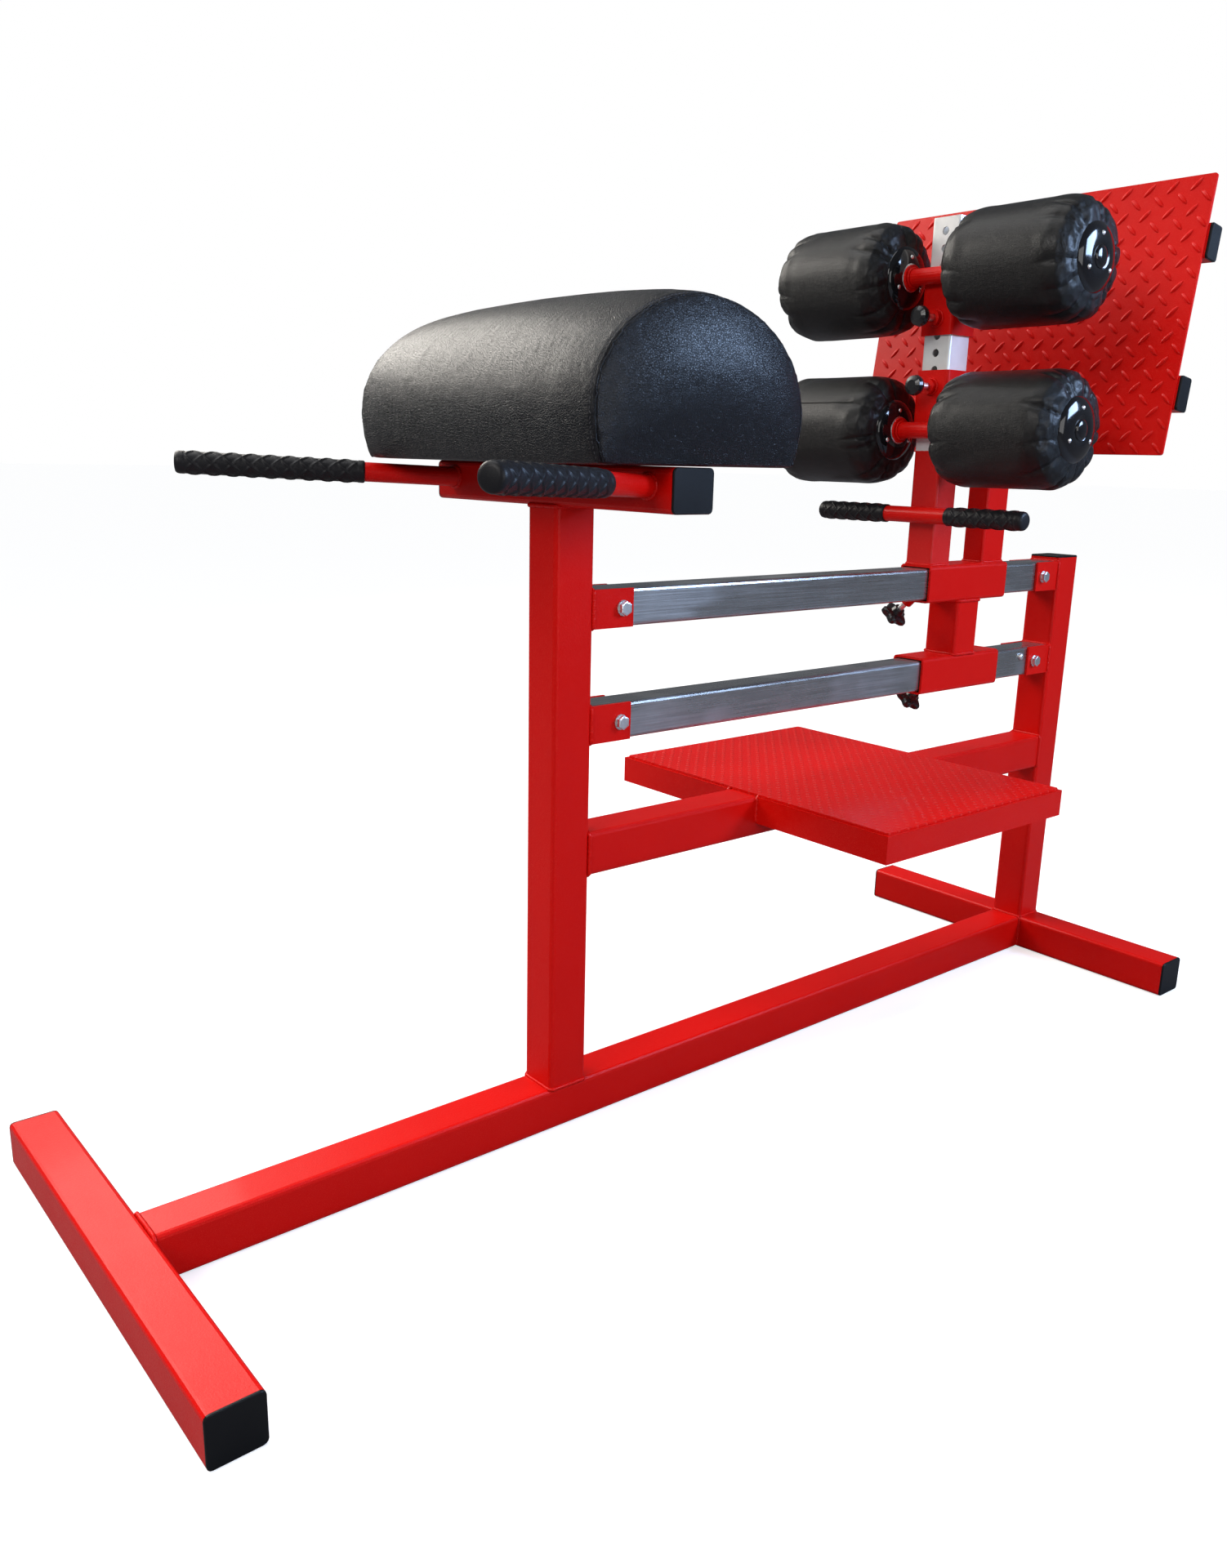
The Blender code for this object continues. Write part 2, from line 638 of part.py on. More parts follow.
# ------------------------------------------------------- carriers and rollers
def carrier(level, pin_z, up, sled):
    """Sleeve on the roller post with the pin's boss and the welded axle.
    `up` is +1 where the axle is above the pin and -1 where it is below."""
    joint = pivot("carrier_%s_axis" % level, (ROLLER_POST_X, 0, pin_z), sled)
    to_axle = PIN_TO_AXLE[level]
    low, high = sorted((-up * PIN_INSET, up * (to_axle + CARRIER_END)))
    at = Vector((ROLLER_POST_X, 0, pin_z))
    name = "roller_carrier_" + level
    body = tube(name, "Z", low, high, (SLEEVE, SLEEVE), at, "red",
                wall=SLEEVE_WALL)
    face = -SLEEVE / 2
    boss = turned(name + "_boss", [(0.0115, face - 0.010), (0.0115, face + 0.002)],
                  "X", at, count=16)
    axle_at = Vector((AXLE_X, 0, pin_z + up * to_axle))
    r, shaft, flange = BAR / 2, 0.009, 0.019
    inner = ROLLER_INNER - 0.0006
    outer = ROLLER_OUTER + 0.002
    half = [(r, 0.0), (r, inner - 0.004), (flange, inner - 0.004),
            (flange, inner), (shaft, inner), (shaft, outer - 0.002),
            (shaft - 0.002, outer)]
    profile = [(a, -b) for a, b in reversed(half[1:])] + half
    axle = turned(name + "_axle", profile, "Y", axle_at, count=20)
    bore = block(name + "_bore", [SLEEVE - 2 * SLEEVE_WALL] * 2 + [0.2], at)
    pin_hole = turned(name + "_pin_hole", [(0.0058, -0.06), (0.0058, 0)], "X",
                      at, count=16)
    boolean(body, boss, "UNION")
    boolean(body, axle, "UNION")
    boolean(body, bore)
    boolean(body, pin_hole)
    place(body, joint)
    return joint, at, axle_at


def pull_pin(level, at, carrier_joint):
    """Spring pin with its black knob, drawn back just clear of the post."""
    tip = -POST / 2 - 0.0006
    boss_face = -SLEEVE / 2 - 0.010
    profile = [(0.0035, tip), (0.0052, tip - 0.002), (0.0052, boss_face - 0.016),
               (0.0075, boss_face - 0.016), (0.0085, boss_face - 0.021),
               (0.0140, boss_face - 0.025), (0.0155, boss_face - 0.030),
               (0.0140, boss_face - 0.036), (0.0080, boss_face - 0.039)]
    joint = pivot("pull_pin_%s_axis" % level, at, carrier_joint)
    place(turned("pull_pin_" + level, profile, "X", at, "plastic", count=20),
          joint)


def roller(level, side, sign, axle_at, carrier_joint):
    """Hub (tube with a dished disc at each end) and the cushion round it."""
    name = "%s_%s" % (level, side)
    joint = pivot("roller_%s_axis" % name, axle_at, carrier_joint)
    bore, barrel, disc = 0.0096, 0.0150, HUB_RADIUS
    a, b = ROLLER_INNER, ROLLER_OUTER
    profile = [(bore, a), (0.016, a), (0.020, a + 0.002), (0.034, a),
               (disc - 0.004, a + 0.001), (disc, a + 0.005), (disc, a + HUB_DISC),
               (barrel, a + HUB_DISC), (barrel, b - HUB_DISC), (disc, b - HUB_DISC),
               (disc, b - 0.005), (disc - 0.004, b - 0.001), (0.034, b),
               (0.020, b - 0.002), (0.016, b), (bore, b)]
    hub = turned("roller_hub_" + name, [(r, sign * z) for r, z in profile], "Y",
                 axle_at, "gloss", ring=True, count=28)
    place(hub, joint)
    hole = barrel + GAP
    s, e = a + HUB_DISC + GAP, b - HUB_DISC - GAP
    R = ROLLER_RADIUS
    profile = [(hole, s), (R - 0.026, s), (R - 0.010, s + 0.005),
               (R - 0.002, s + 0.016), (R, s + 0.034), (R, e - 0.034),
               (R - 0.002, e - 0.016), (R - 0.010, e - 0.005),
               (R - 0.026, e), (hole, e)]
    pad = turned("roller_pad_" + name, [(r, sign * z) for r, z in profile], "Y",
                 axle_at, "vinyl", ring=True, count=28)
    place(pad, joint)


def roller_gear(sled):
    for level, pin_z, up in (("upper", PIN_UPPER_Z, 1), ("lower", PIN_LOWER_Z, -1)):
        joint, at, axle_at = carrier(level, pin_z, up, sled)
        pull_pin(level, at, joint)
        for side, sign in (("near", -1), ("far", 1)):
            roller(level, side, sign, axle_at, joint)


def main():
    base_frame()
    uprights()
    crossbeam()
    platform()
    slide_rails()
    body_pad()
    front_handles()
    sled = pivot("sled_axis", (SLED_X, 0, RAIL_UPPER_Z))
    for level, z in (("upper", RAIL_UPPER_Z), ("lower", RAIL_LOWER_Z)):
        sleeve(level, z, sled)
        lock_knob(level, z, sled)
    sled_posts(sled)
    roller_post(sled)
    handlebar(sled)
    footplate(sled)
    roller_gear(sled)


main()
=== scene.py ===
# %% [markdown]
# # A glute-ham bench, dressed over its CAD frame
# The frame, sled, rollers and joints come in as finished CAD parts. This lesson gives each of them its
# real finish, and makes what a CAD solid leaves out: weld beads, the sewn pad, the gathered rollers,
# the ribs of the rubber grips and the raised bars of the footplate.

# %% Load the frame
import bpy
import bmesh
import json
import math
import random
from mathutils import Matrix, Vector, noise
from mathutils.bvhtree import BVHTree
from mathutils.kdtree import KDTree


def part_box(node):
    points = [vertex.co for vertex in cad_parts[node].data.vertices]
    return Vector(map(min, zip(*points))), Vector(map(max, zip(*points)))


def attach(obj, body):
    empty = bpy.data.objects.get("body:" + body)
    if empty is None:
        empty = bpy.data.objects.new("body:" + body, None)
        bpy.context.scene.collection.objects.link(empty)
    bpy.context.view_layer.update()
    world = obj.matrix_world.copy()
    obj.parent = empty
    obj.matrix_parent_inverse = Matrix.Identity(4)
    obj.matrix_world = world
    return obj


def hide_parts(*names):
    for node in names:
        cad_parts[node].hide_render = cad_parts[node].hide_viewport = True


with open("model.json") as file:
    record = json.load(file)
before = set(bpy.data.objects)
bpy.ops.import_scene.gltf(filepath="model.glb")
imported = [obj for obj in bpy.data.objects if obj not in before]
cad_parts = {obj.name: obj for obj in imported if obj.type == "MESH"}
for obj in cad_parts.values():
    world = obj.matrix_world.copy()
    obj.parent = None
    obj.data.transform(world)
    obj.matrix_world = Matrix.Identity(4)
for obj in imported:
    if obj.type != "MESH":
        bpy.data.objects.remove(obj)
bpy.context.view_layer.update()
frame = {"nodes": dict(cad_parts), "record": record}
scene = bpy.context.scene
dice = random.Random(7)

# %% [markdown]
# ## The camera
# It stands low and close to the near front corner of the bench and looks slightly down. A short lens from
# close by gives the strong perspective of such a picture. It is placed with one matrix, made of the
# camera's right, up and backward directions.

# %% Camera
yaw, pitch, roll = (math.radians(a) for a in (50.224, -14.779, 1.352))
look = Vector((math.cos(pitch) * math.cos(yaw), math.cos(pitch) * math.sin(yaw), math.sin(pitch)))
level = Vector((math.sin(yaw), -math.cos(yaw), 0))
rise = level.cross(look)
right = level * math.cos(roll) + rise * math.sin(roll)
up = rise * math.cos(roll) - level * math.sin(roll)
camera = bpy.data.objects.new("camera", bpy.data.cameras.new("camera"))
EYE = (-1.2073, -1.2498, 0.8959)
camera.matrix_world = Matrix.Translation(EYE) @ Matrix((right, up, -look)).transposed().to_4x4()
camera.data.lens = 28.47
camera.data.clip_start = 0.05
scene.collection.objects.link(camera)
scene.camera = camera
print("camera at", tuple(round(c, 3) for c in camera.location))

# %% [markdown]
# ## Floor and light
# A pale sweep of paper and large soft lamps. A wide soft ceiling light carries the picture, a softbox on the
# far side gives the long highlights on the vinyl, and weak cool lamps fill the near side. A white floor would
# throw so much light upwards that black looks grey, so the paper is pale to the eye but dull to the light.

# %% Stage
bm = bmesh.new()
bmesh.ops.create_grid(bm, x_segments=1, y_segments=1, size=60)
floor_mesh = bpy.data.meshes.new("floor")
bm.to_mesh(floor_mesh)
bm.free()
floor = bpy.data.objects.new("floor", floor_mesh)
floor.location.z = -0.0005
scene.collection.objects.link(floor)


def lamp(name, place, aim, size, power, tint=(1, 1, 1)):
    data = bpy.data.lights.new(name, "AREA")
    data.shape, data.size, data.size_y = "RECTANGLE", size[0], size[1]
    data.energy, data.color = power, tint
    obj = bpy.data.objects.new(name, data)
    obj.location = place
    obj.rotation_euler = (Vector(aim) - Vector(place)).to_track_quat("-Z", "Y").to_euler()
    scene.collection.objects.link(obj)


sun = bpy.data.objects.new("ceiling", bpy.data.lights.new("ceiling", "SUN"))
sun.data.energy, sun.data.angle = 1.8, math.radians(50)
sun.rotation_euler = Vector((0.25, -0.30, -1)).to_track_quat("-Z", "Y").to_euler()
scene.collection.objects.link(sun)
lamp("far_softbox", (-0.9, 3.3, 2.9), (0, 0, 0.9), (3.6, 1.5), 150, (1.0, 0.95, 0.87))
lamp("near_fill", (-0.4, -3.4, 1.4), (0.1, 0, 0.6), (2.6, 1.6), 34)
lamp("near_cool", (1.65, -2.0, 1.85), (-0.3, -0.3, 1.05), (1.1, 0.8), 84, (0.46, 0.65, 1.0))
lamp("front_fill", (-3.2, -0.9, 2.5), (0, 0, 0.6), (1.8, 1.2), 52, (1.0, 0.97, 0.94))


def seen_and_felt(tree, seen, felt):
    """One shader for what the camera sees directly, another for the light that things receive."""
    path, swap = tree.nodes.new("ShaderNodeLightPath"), tree.nodes.new("ShaderNodeMixShader")
    tree.links.new(path.outputs["Is Camera Ray"], swap.inputs[0])
    tree.links.new(felt.outputs[0], swap.inputs[1])
    tree.links.new(seen.outputs[0], swap.inputs[2])
    return swap


world = bpy.data.worlds.new("studio")
scene.world = world
world.use_nodes = True
tree = world.node_tree
paper, sky = tree.nodes["Background"], tree.nodes.new("ShaderNodeBackground")
paper.inputs["Color"].default_value = (1, 1, 1, 1)
sky.inputs["Color"].default_value, sky.inputs["Strength"].default_value = (0.84, 0.91, 1, 1), 0.13
tree.links.new(seen_and_felt(tree, paper, sky).outputs[0], tree.nodes["World Output"].inputs["Surface"])
sweep = bpy.data.materials.new("paper_sweep")
sweep.use_nodes = True
tree = sweep.node_tree
pale, dull = tree.nodes["Principled BSDF"], tree.nodes.new("ShaderNodeBsdfDiffuse")
pale.inputs["Base Color"].default_value, pale.inputs["Roughness"].default_value = (0.62, 0.62, 0.62, 1), 1.0
pale.inputs["Specular IOR Level"].default_value = 0.0
pale.inputs["Emission Color"].default_value = (1, 1, 1, 1)
pale.inputs["Emission Strength"].default_value = 0.58
dull.inputs["Color"].default_value = (0.20, 0.20, 0.21, 1)
tree.links.new(seen_and_felt(tree, pale, dull).outputs[0], tree.nodes["Material Output"].inputs["Surface"])
floor_mesh.materials.append(sweep)
scene.view_settings.view_transform = "Standard"

# %% [markdown]
# ## Writing shader maths as sums
# A finish is a small formula over the surface. Instead of wiring Math nodes by hand, one class wraps a
# socket and gives it +, - and *, so a line of Python reads as the formula and adds the nodes itself.

# %% A socket that can be used in sums


class Wire:
    """One socket's value; each operator on it adds one Math node."""

    def __init__(self, finish, socket):
        self.finish, self.socket = finish, socket

    def __add__(self, other):
        return self.finish.maths("ADD", self, other)

    def __sub__(self, other):
        return self.finish.maths("SUBTRACT", self, other)

    def __rsub__(self, other):
        return self.finish.maths("SUBTRACT", other, self)

    def __mul__(self, other):
        return self.finish.maths("MULTIPLY", self, other)

    __radd__, __rmul__ = __add__, __mul__


class Finish:
    """A material being written down."""

    def __init__(self, name):
        self.material = bpy.data.materials.new(name)
        self.material.use_nodes = True
        self.tree = self.material.node_tree
        self.tree.nodes.clear()

    def node(self, kind, settings={}, values={}, out=0):
        """Add a node: its settings first, then the values or links of its sockets."""
        new = self.tree.nodes.new(kind)
        for key, value in settings.items():
            setattr(new, key, value)
        for key, value in values.items():
            if isinstance(value, Wire):
                self.tree.links.new(value.socket, new.inputs[key])
            else:
                new.inputs[key].default_value = value
        return Wire(self, new.outputs[out]) if len(new.outputs) else None

    def maths(self, operation, *values):
        return self.node("ShaderNodeMath", {"operation": operation}, dict(enumerate(values)))

    def at(self, scale=(1, 1, 1)):
        """The place on the piece, in the piece's own coordinates."""
        spot = self.node("ShaderNodeTexCoord", out="Object")
        return self.node("ShaderNodeMapping", {}, {"Vector": spot, "Scale": scale})

    def axes(self, vector):
        split = self.node("ShaderNodeSeparateXYZ", {}, {"Vector": vector})
        return [Wire(self, socket) for socket in split.socket.node.outputs]

    def noise(self, scale, at=None, detail=2.0, rough=0.5):
        values = {"Vector": at or self.at(), "Scale": scale, "Detail": detail, "Roughness": rough}
        return self.node("ShaderNodeTexNoise", {}, values)

    def cells(self, scale, at=None, feature="F1"):
        values = {"Vector": at or self.at(), "Scale": scale}
        return self.node("ShaderNodeTexVoronoi", {"feature": feature}, values)

    def step(self, value, low, high):
        """0 below low, 1 above high and a smooth rise between them."""
        values = {"Value": value, "From Min": low, "From Max": high}
        return self.node("ShaderNodeMapRange", {"interpolation_type": "SMOOTHSTEP"}, values)

    def mix(self, share, a, b):
        return self.node("ShaderNodeMix", {"data_type": "RGBA"}, {0: share, 6: a, 7: b}, out=2)

    def bump(self, height, distance, strength=1.0, under=None):
        values = {"Height": height, "Distance": distance, "Strength": strength}
        if under:
            values["Normal"] = under
        return self.node("ShaderNodeBump", {}, values)

    def surface(self, **values):
        spaced = {key.replace("_", " "): value for key, value in values.items()}
        shader = self.node("ShaderNodeBsdfPrincipled", {}, spaced)
        self.node("ShaderNodeOutputMaterial", {}, {"Surface": shader})
        return self.material


print("shader words ready")

# %% [markdown]
# ## Red powder coat
# The frame's tubes are sprayed with dry paint powder and baked. The melted powder keeps a fine orange-peel
# skin, and it is a little paler where it lies thick. Tiny bright flecks are painted into the colour as glints
# of light: painted highlights. Two sizes of noise make the skin's bumps, a slow third one drifts the colour,
# and a clear coat gives the gloss.

# %% Powder coat
RED, DEEP_RED, PAINTED_GLINT = (0.67, 0.0033, 0.0015, 1), (0.57, 0.0011, 0.0007, 1), (0.95, 0.12, 0.07, 1)


def paint_on(f, at):
    """Colour with painted glints in it, roughness and bump height of the powder coat."""
    skin, grain = f.noise(430, at, 2), f.noise(1500, at, 1)
    colour = f.mix(f.noise(7, at, 3), DEEP_RED, RED)
    # Where the fine grain peaks, bright flecks are mixed into the colour: painted glints of light.
    colour = f.mix(f.step(grain, 0.62, 0.74) * 0.5, colour, PAINTED_GLINT)
    rough = skin * 0.20 + f.noise(24, at, 3) * 0.10 + 0.20
    return colour, rough, skin * 0.65 + grain * 0.35


def powder_coat(name):
    f = Finish(name)
    colour, rough, height = paint_on(f, f.at())
    return f.surface(Base_Color=colour, Roughness=rough, Normal=f.bump(height, 0.0004, 0.75),
                     Specular_IOR_Level=0.13, Coat_Weight=0.06, Coat_Roughness=0.08)


red_paint = powder_coat("red_powder_coat")
print("made", red_paint.name)

# %% [markdown]
# ## Bare and plated steel
# The slide rails are left bare so that the sleeves run on clean metal: dark drawn steel with streaks along
# the tube. The streaks are noise squeezed along X. Bolts and the roller post are zinc plated, which is
# paler and carries a faint cloudiness. The roller post is dipped in red up to a sharp line, so its material
# swaps from paint to zinc at that height.

# %% Metals
DIP_HEIGHT = 0.9175


def drawn_steel():
    f = Finish("drawn_steel")
    streaks = f.noise(1.0, f.at((7, 520, 520)), 4)
    scale = f.noise(26, f.at(), 4, 0.6)
    colour = f.mix(streaks * 0.6 + scale * 0.4, (0.22, 0.22, 0.225, 1), (0.58, 0.575, 0.57, 1))
    rubbed = f.step(f.noise(11, f.at((0.5, 1, 1)), 2), 0.48, 0.62)
    return f.surface(Base_Color=colour, Metallic=0.92, Roughness=streaks * 0.24 + rubbed * 0.12 + 0.14,
                     Normal=f.bump(streaks + scale * 0.5, 0.00025, 0.5))


def zinc_on(f, at):
    cloud, grain = f.noise(38, at, 3), f.noise(900, at, 2)
    colour = f.mix(cloud, (0.68, 0.69, 0.70, 1), (0.88, 0.88, 0.87, 1))
    return colour, cloud * 0.16 + grain * 0.12 + 0.20, grain


def zinc():
    f = Finish("zinc_plate")
    colour, rough, height = zinc_on(f, f.at())
    return f.surface(Base_Color=colour, Metallic=1.0, Roughness=rough, Normal=f.bump(height, 0.00015, 0.5))


def dipped_post():
    f = Finish("dipped_post")
    at = f.at()
    height = f.axes(at)[2] + f.noise(60, at, 2) * 0.003
    bare = f.step(height, DIP_HEIGHT, DIP_HEIGHT + 0.001)
    red, red_rough, peel = paint_on(f, at)
    pale, pale_rough, grain = zinc_on(f, at)
    return f.surface(Base_Color=f.mix(bare, red, pale), Metallic=bare * 0.35,
                     Roughness=red_rough * (1 - bare) + pale_rough * bare,
                     Normal=f.bump(peel * (1 - bare) + grain * bare * 0.4 + (1 - bare) * 0.5, 0.0004, 0.6))


steel, plated, post_finish = drawn_steel(), zinc(), dipped_post()
print("made", steel.name, plated.name, post_finish.name)

# %% [markdown]
# ## Plastics and rubber
# The tube caps are moulded with a fine spark-eroded grain, the rollers' end discs are polished black, and the
# grips are matt rubber. Each gets a grain at its own scale, and a slow drift in roughness from handling.

# %% Plastics and rubber


def plastic(name, dark, pale, rough, grain, depth, coat=0.0):
    f = Finish(name)
    at = f.at()
    fine, rub = f.noise(grain, at, 2), f.noise(18, at, 3)
    colour = f.mix(rub * 0.6 + fine * 0.4, dark, pale)
    return f.surface(Base_Color=colour, Roughness=fine * 0.10 + rub * 0.12 + rough * 0.8,
                     Specular_IOR_Level=0.18, Coat_Weight=coat, Coat_Roughness=0.06,
                     Normal=f.bump(fine, depth, 0.6))


cap_plastic = plastic("cap_plastic", (0.0025, 0.0025, 0.003, 1), (0.008, 0.008, 0.009, 1), 0.34, 1900, 0.0002)
disc_plastic = plastic("polished_disc", (0.004, 0.004, 0.005, 1), (0.010, 0.010, 0.012, 1),
                       0.02, 260, 0.00004, 0.6)
grip_rubber = plastic("grip_rubber", (0.006, 0.006, 0.007, 1), (0.018, 0.018, 0.021, 1), 0.36, 1300, 0.0002)
print("made three plastics")

# %% [markdown]
# ## Knobs on metal shanks
# Each knob is one CAD solid with its screw or pin, so one material holds both: plated steel on the shank's
# side of a plane, black plastic on the other. The plane lies across the knob's own axis.

# %% Two finishes on one part


def knob_on_shank(name, along, start):
    """`along` is the axis from shank to knob, `start` the distance along it where the knob begins."""
    f = Finish(name)
    at = f.at()
    x, y, z = f.axes(at)
    reach = x * along[0] + y * along[1] + z * along[2]
    knob = f.step(reach, start - 0.0002, start + 0.0002)
    pale, rough, grain = zinc_on(f, at)
    fine = f.noise(1400, at, 2)
    black = f.mix(fine, (0.006, 0.006, 0.007, 1), (0.018, 0.018, 0.020, 1))
    return f.surface(Base_Color=f.mix(knob, pale, black),
                     Metallic=1 - knob, Roughness=rough * (1 - knob) + (fine * 0.12 + 0.16) * knob,
                     Normal=f.bump(grain * (1 - knob) + fine * knob, 0.00015, 0.5))


slant = (0.0, math.sqrt(0.5), -math.sqrt(0.5))
knob_looks, HALF_SLEEVE = {}, 0.030
for where in ("upper", "lower"):
    low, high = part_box("pull_pin_" + where)
    knob_looks["pull_pin_" + where] = knob_on_shank("pull_pin_%s_look" % where, (-1, 0, 0), -(low.x + 0.0232))
    low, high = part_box("slide_rail_" + where)
    corner = Vector((0, HALF_SLEEVE, (low.z + high.z) / 2 - HALF_SLEEVE))
    begins = corner.dot(Vector(slant)) + 0.0238
    knob_looks["lock_knob_" + where] = knob_on_shank("lock_knob_%s_look" % where, slant, begins)
print("made", sorted(knob_looks))

# %% [markdown]
# ## Leatherette
# The pad and the rollers are covered with black vinyl pressed with a leather grain: small rounded pebbles
# with creases between them, over slow soft waves where the cover is stretched on the foam. The pebbles are
# Voronoi cells whose place is shaken by noise, so that they don't look like a honeycomb.

# %% Leatherette


def vinyl(name, dark, pale, rough, pebble, depth, creases, waves=0.0008):
    f = Finish(name)
    at = f.at()
    shake = f.node("ShaderNodeTexNoise", {}, {"Vector": at, "Scale": pebble * 0.7, "Detail": 2.0},
                   out="Color")
    shaken = f.node("ShaderNodeVectorMath", {"operation": "SCALE"}, {0: shake, "Scale": 0.9 / pebble})
    spot = f.node("ShaderNodeVectorMath", {"operation": "ADD"}, {0: at, 1: shaken})
    cell = f.step(f.cells(pebble, spot, "DISTANCE_TO_EDGE"), 0.0, 0.16)
    pore, wave, rub = f.noise(pebble * 2.6, at, 2), f.noise(17, at, 2), f.noise(9, at, 3)
    drawn = f.node("ShaderNodeVectorMath", {"operation": "MULTIPLY"}, {0: spot, 1: (1.0, 0.45, 1.0)})
    crease = f.noise(52, drawn, 5)
    colour = f.mix(cell * 0.55 + rub * 0.45, dark, pale)
    grain = f.bump(crease, creases, 0.7, f.bump(cell * 0.8 + pore * 0.3, depth, 0.7))
    return f.surface(Base_Color=colour, Roughness=rub * 0.12 + rough + (1 - cell) * 0.10,
                     Normal=f.bump(wave, waves, 0.6, grain), Specular_IOR_Level=0.27,
                     Coat_Weight=0.04, Coat_Roughness=0.20)


pad_vinyl = vinyl("pad_leatherette", (0.0015, 0.0017, 0.0025, 1), (0.0055, 0.0065, 0.010, 1),
                  rough=0.26, pebble=420, depth=0.0011, creases=0.0016)
roller_vinyl = vinyl("roller_leatherette", (0.0012, 0.0012, 0.0014, 1), (0.0045, 0.0045, 0.005, 1),
                     rough=0.25, pebble=600, depth=0.0004, creases=0.0006)
print("made", pad_vinyl.name, roller_vinyl.name)

# %% [markdown]
# ## The step's studded sheet
# The step is a folded sheet pressed with a close pattern of small round studs. They are far too many and too
# low to be worth modelling, so they are bumps: the surface is folded into squares, and the distance from
# each square's middle raises a dome. The domes' tops are also painted paler: painted highlights on the studs.

# %% Studded sheet


def studded_sheet(name, pitch, radius):
    f = Finish(name)
    at = f.at()
    colour, rough, skin = paint_on(f, at)
    x, y, _ = f.axes(at)

    def from_middle(value, shift):
        """Distance to the nearest multiple of the pitch, for one axis."""
        return f.maths("PINGPONG", value + shift, pitch / 2)

    dome = 0
    for shift in (0.0, pitch / 2):
        a, b = from_middle(x, shift), from_middle(y, shift)
        away = f.maths("SQRT", a * a + b * b)
        dome = 1 - f.step(away, radius * 0.45, radius) + dome
    studs = f.bump(dome, 0.0011, 1.0, f.bump(skin, 0.0004, 0.7))
    # The domes' tops are mixed towards a paler orange-red: painted highlights on the studs.
    return f.surface(Base_Color=f.mix(dome * 0.25, colour, (0.85, 0.10, 0.08, 1)),
                     Roughness=rough, Normal=studs, Specular_IOR_Level=0.13,
                     Coat_Weight=0.06, Coat_Roughness=0.08)


step_look = studded_sheet("studded_step", 0.020, 0.0036)
print("made", step_look.name)

# %% [markdown]
# ## Dressing the CAD parts
# Most CAD parts have the right shape already, so they stay and only change their material. A dictionary by
# the record's own slots gives each its finish, and a short list names the exceptions.

# %% Dress the CAD nodes
by_slot = {"red_frame_paint": red_paint, "bare_steel": steel, "zinc_plate": plated,
           "cap_plastic": cap_plastic, "hub_plastic": disc_plastic, "grip_rubber": grip_rubber,
           "black_vinyl": pad_vinyl}
special = {"roller_post": post_finish, "platform_tread": step_look, **knob_looks}
slot_of = {row["node"]: row.get("material_slot") for row in frame["record"]["subparts"]}
for name, obj in frame["nodes"].items():
    look_of = special.get(name) or by_slot[slot_of[name]]
    for holder in obj.material_slots:
        holder.material = look_of
print("dressed", len(frame["nodes"]), "nodes")

# %% [markdown]
# ## Adding a piece
# Every new piece ends the same way: its mesh goes into an object at the origin, gets a material, and is told
# which moving body it rides on. One helper does that, and shades the piece smooth.

# %% Helper: finish a piece


def piece(name, bm, body, finish, stands_for=()):
    mesh = bpy.data.meshes.new(name)
    bm.to_mesh(mesh)
    bm.free()
    return piece_of(name, mesh, body, finish, stands_for)


def piece_of(name, mesh, body, finish, stands_for=()):
    mesh.materials.clear()
    mesh.materials.append(finish)
    mesh.polygons.foreach_set("use_smooth", [True] * len(mesh.polygons))
    obj = bpy.data.objects.new(name, mesh)
    scene.collection.objects.link(obj)
    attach(obj, body)
    if stands_for:
        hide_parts(*stands_for)
    print(name, "has", len(mesh.polygons), "faces")
    return obj


def baked(obj):
    """A mesh copy of an object with its modifiers or curve worked out."""
    return bpy.data.meshes.new_from_object(obj.evaluated_get(bpy.context.evaluated_depsgraph_get()))


def threads(name, lines, thick, closed, sides=1):
    """Round strands along lines of (point, thickness share); made as one curve, and then a mesh."""
    data = bpy.data.curves.new(name, "CURVE")
    data.dimensions, data.use_fill_caps = "3D", not closed
    data.bevel_depth, data.bevel_resolution = thick, sides
    for line in lines:
        spline = data.splines.new("POLY")
        spline.points.add(len(line) - 1)
        for point, (place, share) in zip(spline.points, line):
            point.co, point.radius = (*place, 1), share
        spline.use_cyclic_u = closed
    obj = bpy.data.objects.new(name, data)
    scene.collection.objects.link(obj)
    mesh = baked(obj)
    bpy.data.objects.remove(obj)
    return mesh


def revolve(bm, points, axis, steps, closed=True):
    """Join the points by edges and spin them all the way round `axis`, with the faces outwards."""
    corners = [bm.verts.new(point) for point in points]
    lines = [bm.edges.new(pair) for pair in zip(corners, corners[1:] + (corners[:1] if closed else []))]
    bmesh.ops.spin(bm, geom=corners + lines, axis=axis, cent=(0, 0, 0), dvec=(0, 0, 0),
                   angle=2 * math.pi, steps=steps, use_merge=True)
    bmesh.ops.remove_doubles(bm, verts=bm.verts, dist=1e-6)
    bmesh.ops.recalc_face_normals(bm, faces=bm.faces)


print("helpers ready")

# %% [markdown]
# ## Weld beads
# The welder lays a row of overlapping puddles round each joint, so a bead is a rope with a ripple along it.
# A curve with a thickness at every point makes that shape in a few lines: the point's radius rises and
# falls as the puddles do, with a little chance added. All beads of one body make one piece.

# %% Weld beads
AXES = {"X": (Vector((0, 1, 0)), Vector((0, 0, 1))), "Y": (Vector((0, 0, 1)), Vector((1, 0, 0))),
        "Z": (Vector((1, 0, 0)), Vector((0, 1, 0)))}
RIPPLE, BEAD_STEP, JITTER = 0.0034, 0.0011, 0.00018
TUBE, STEP_TUBE = 0.060, 0.040
HANDLE_Y, HANDLE_Z, HANDLE_SPREAD = 0.195, 0.8655, math.radians(27)


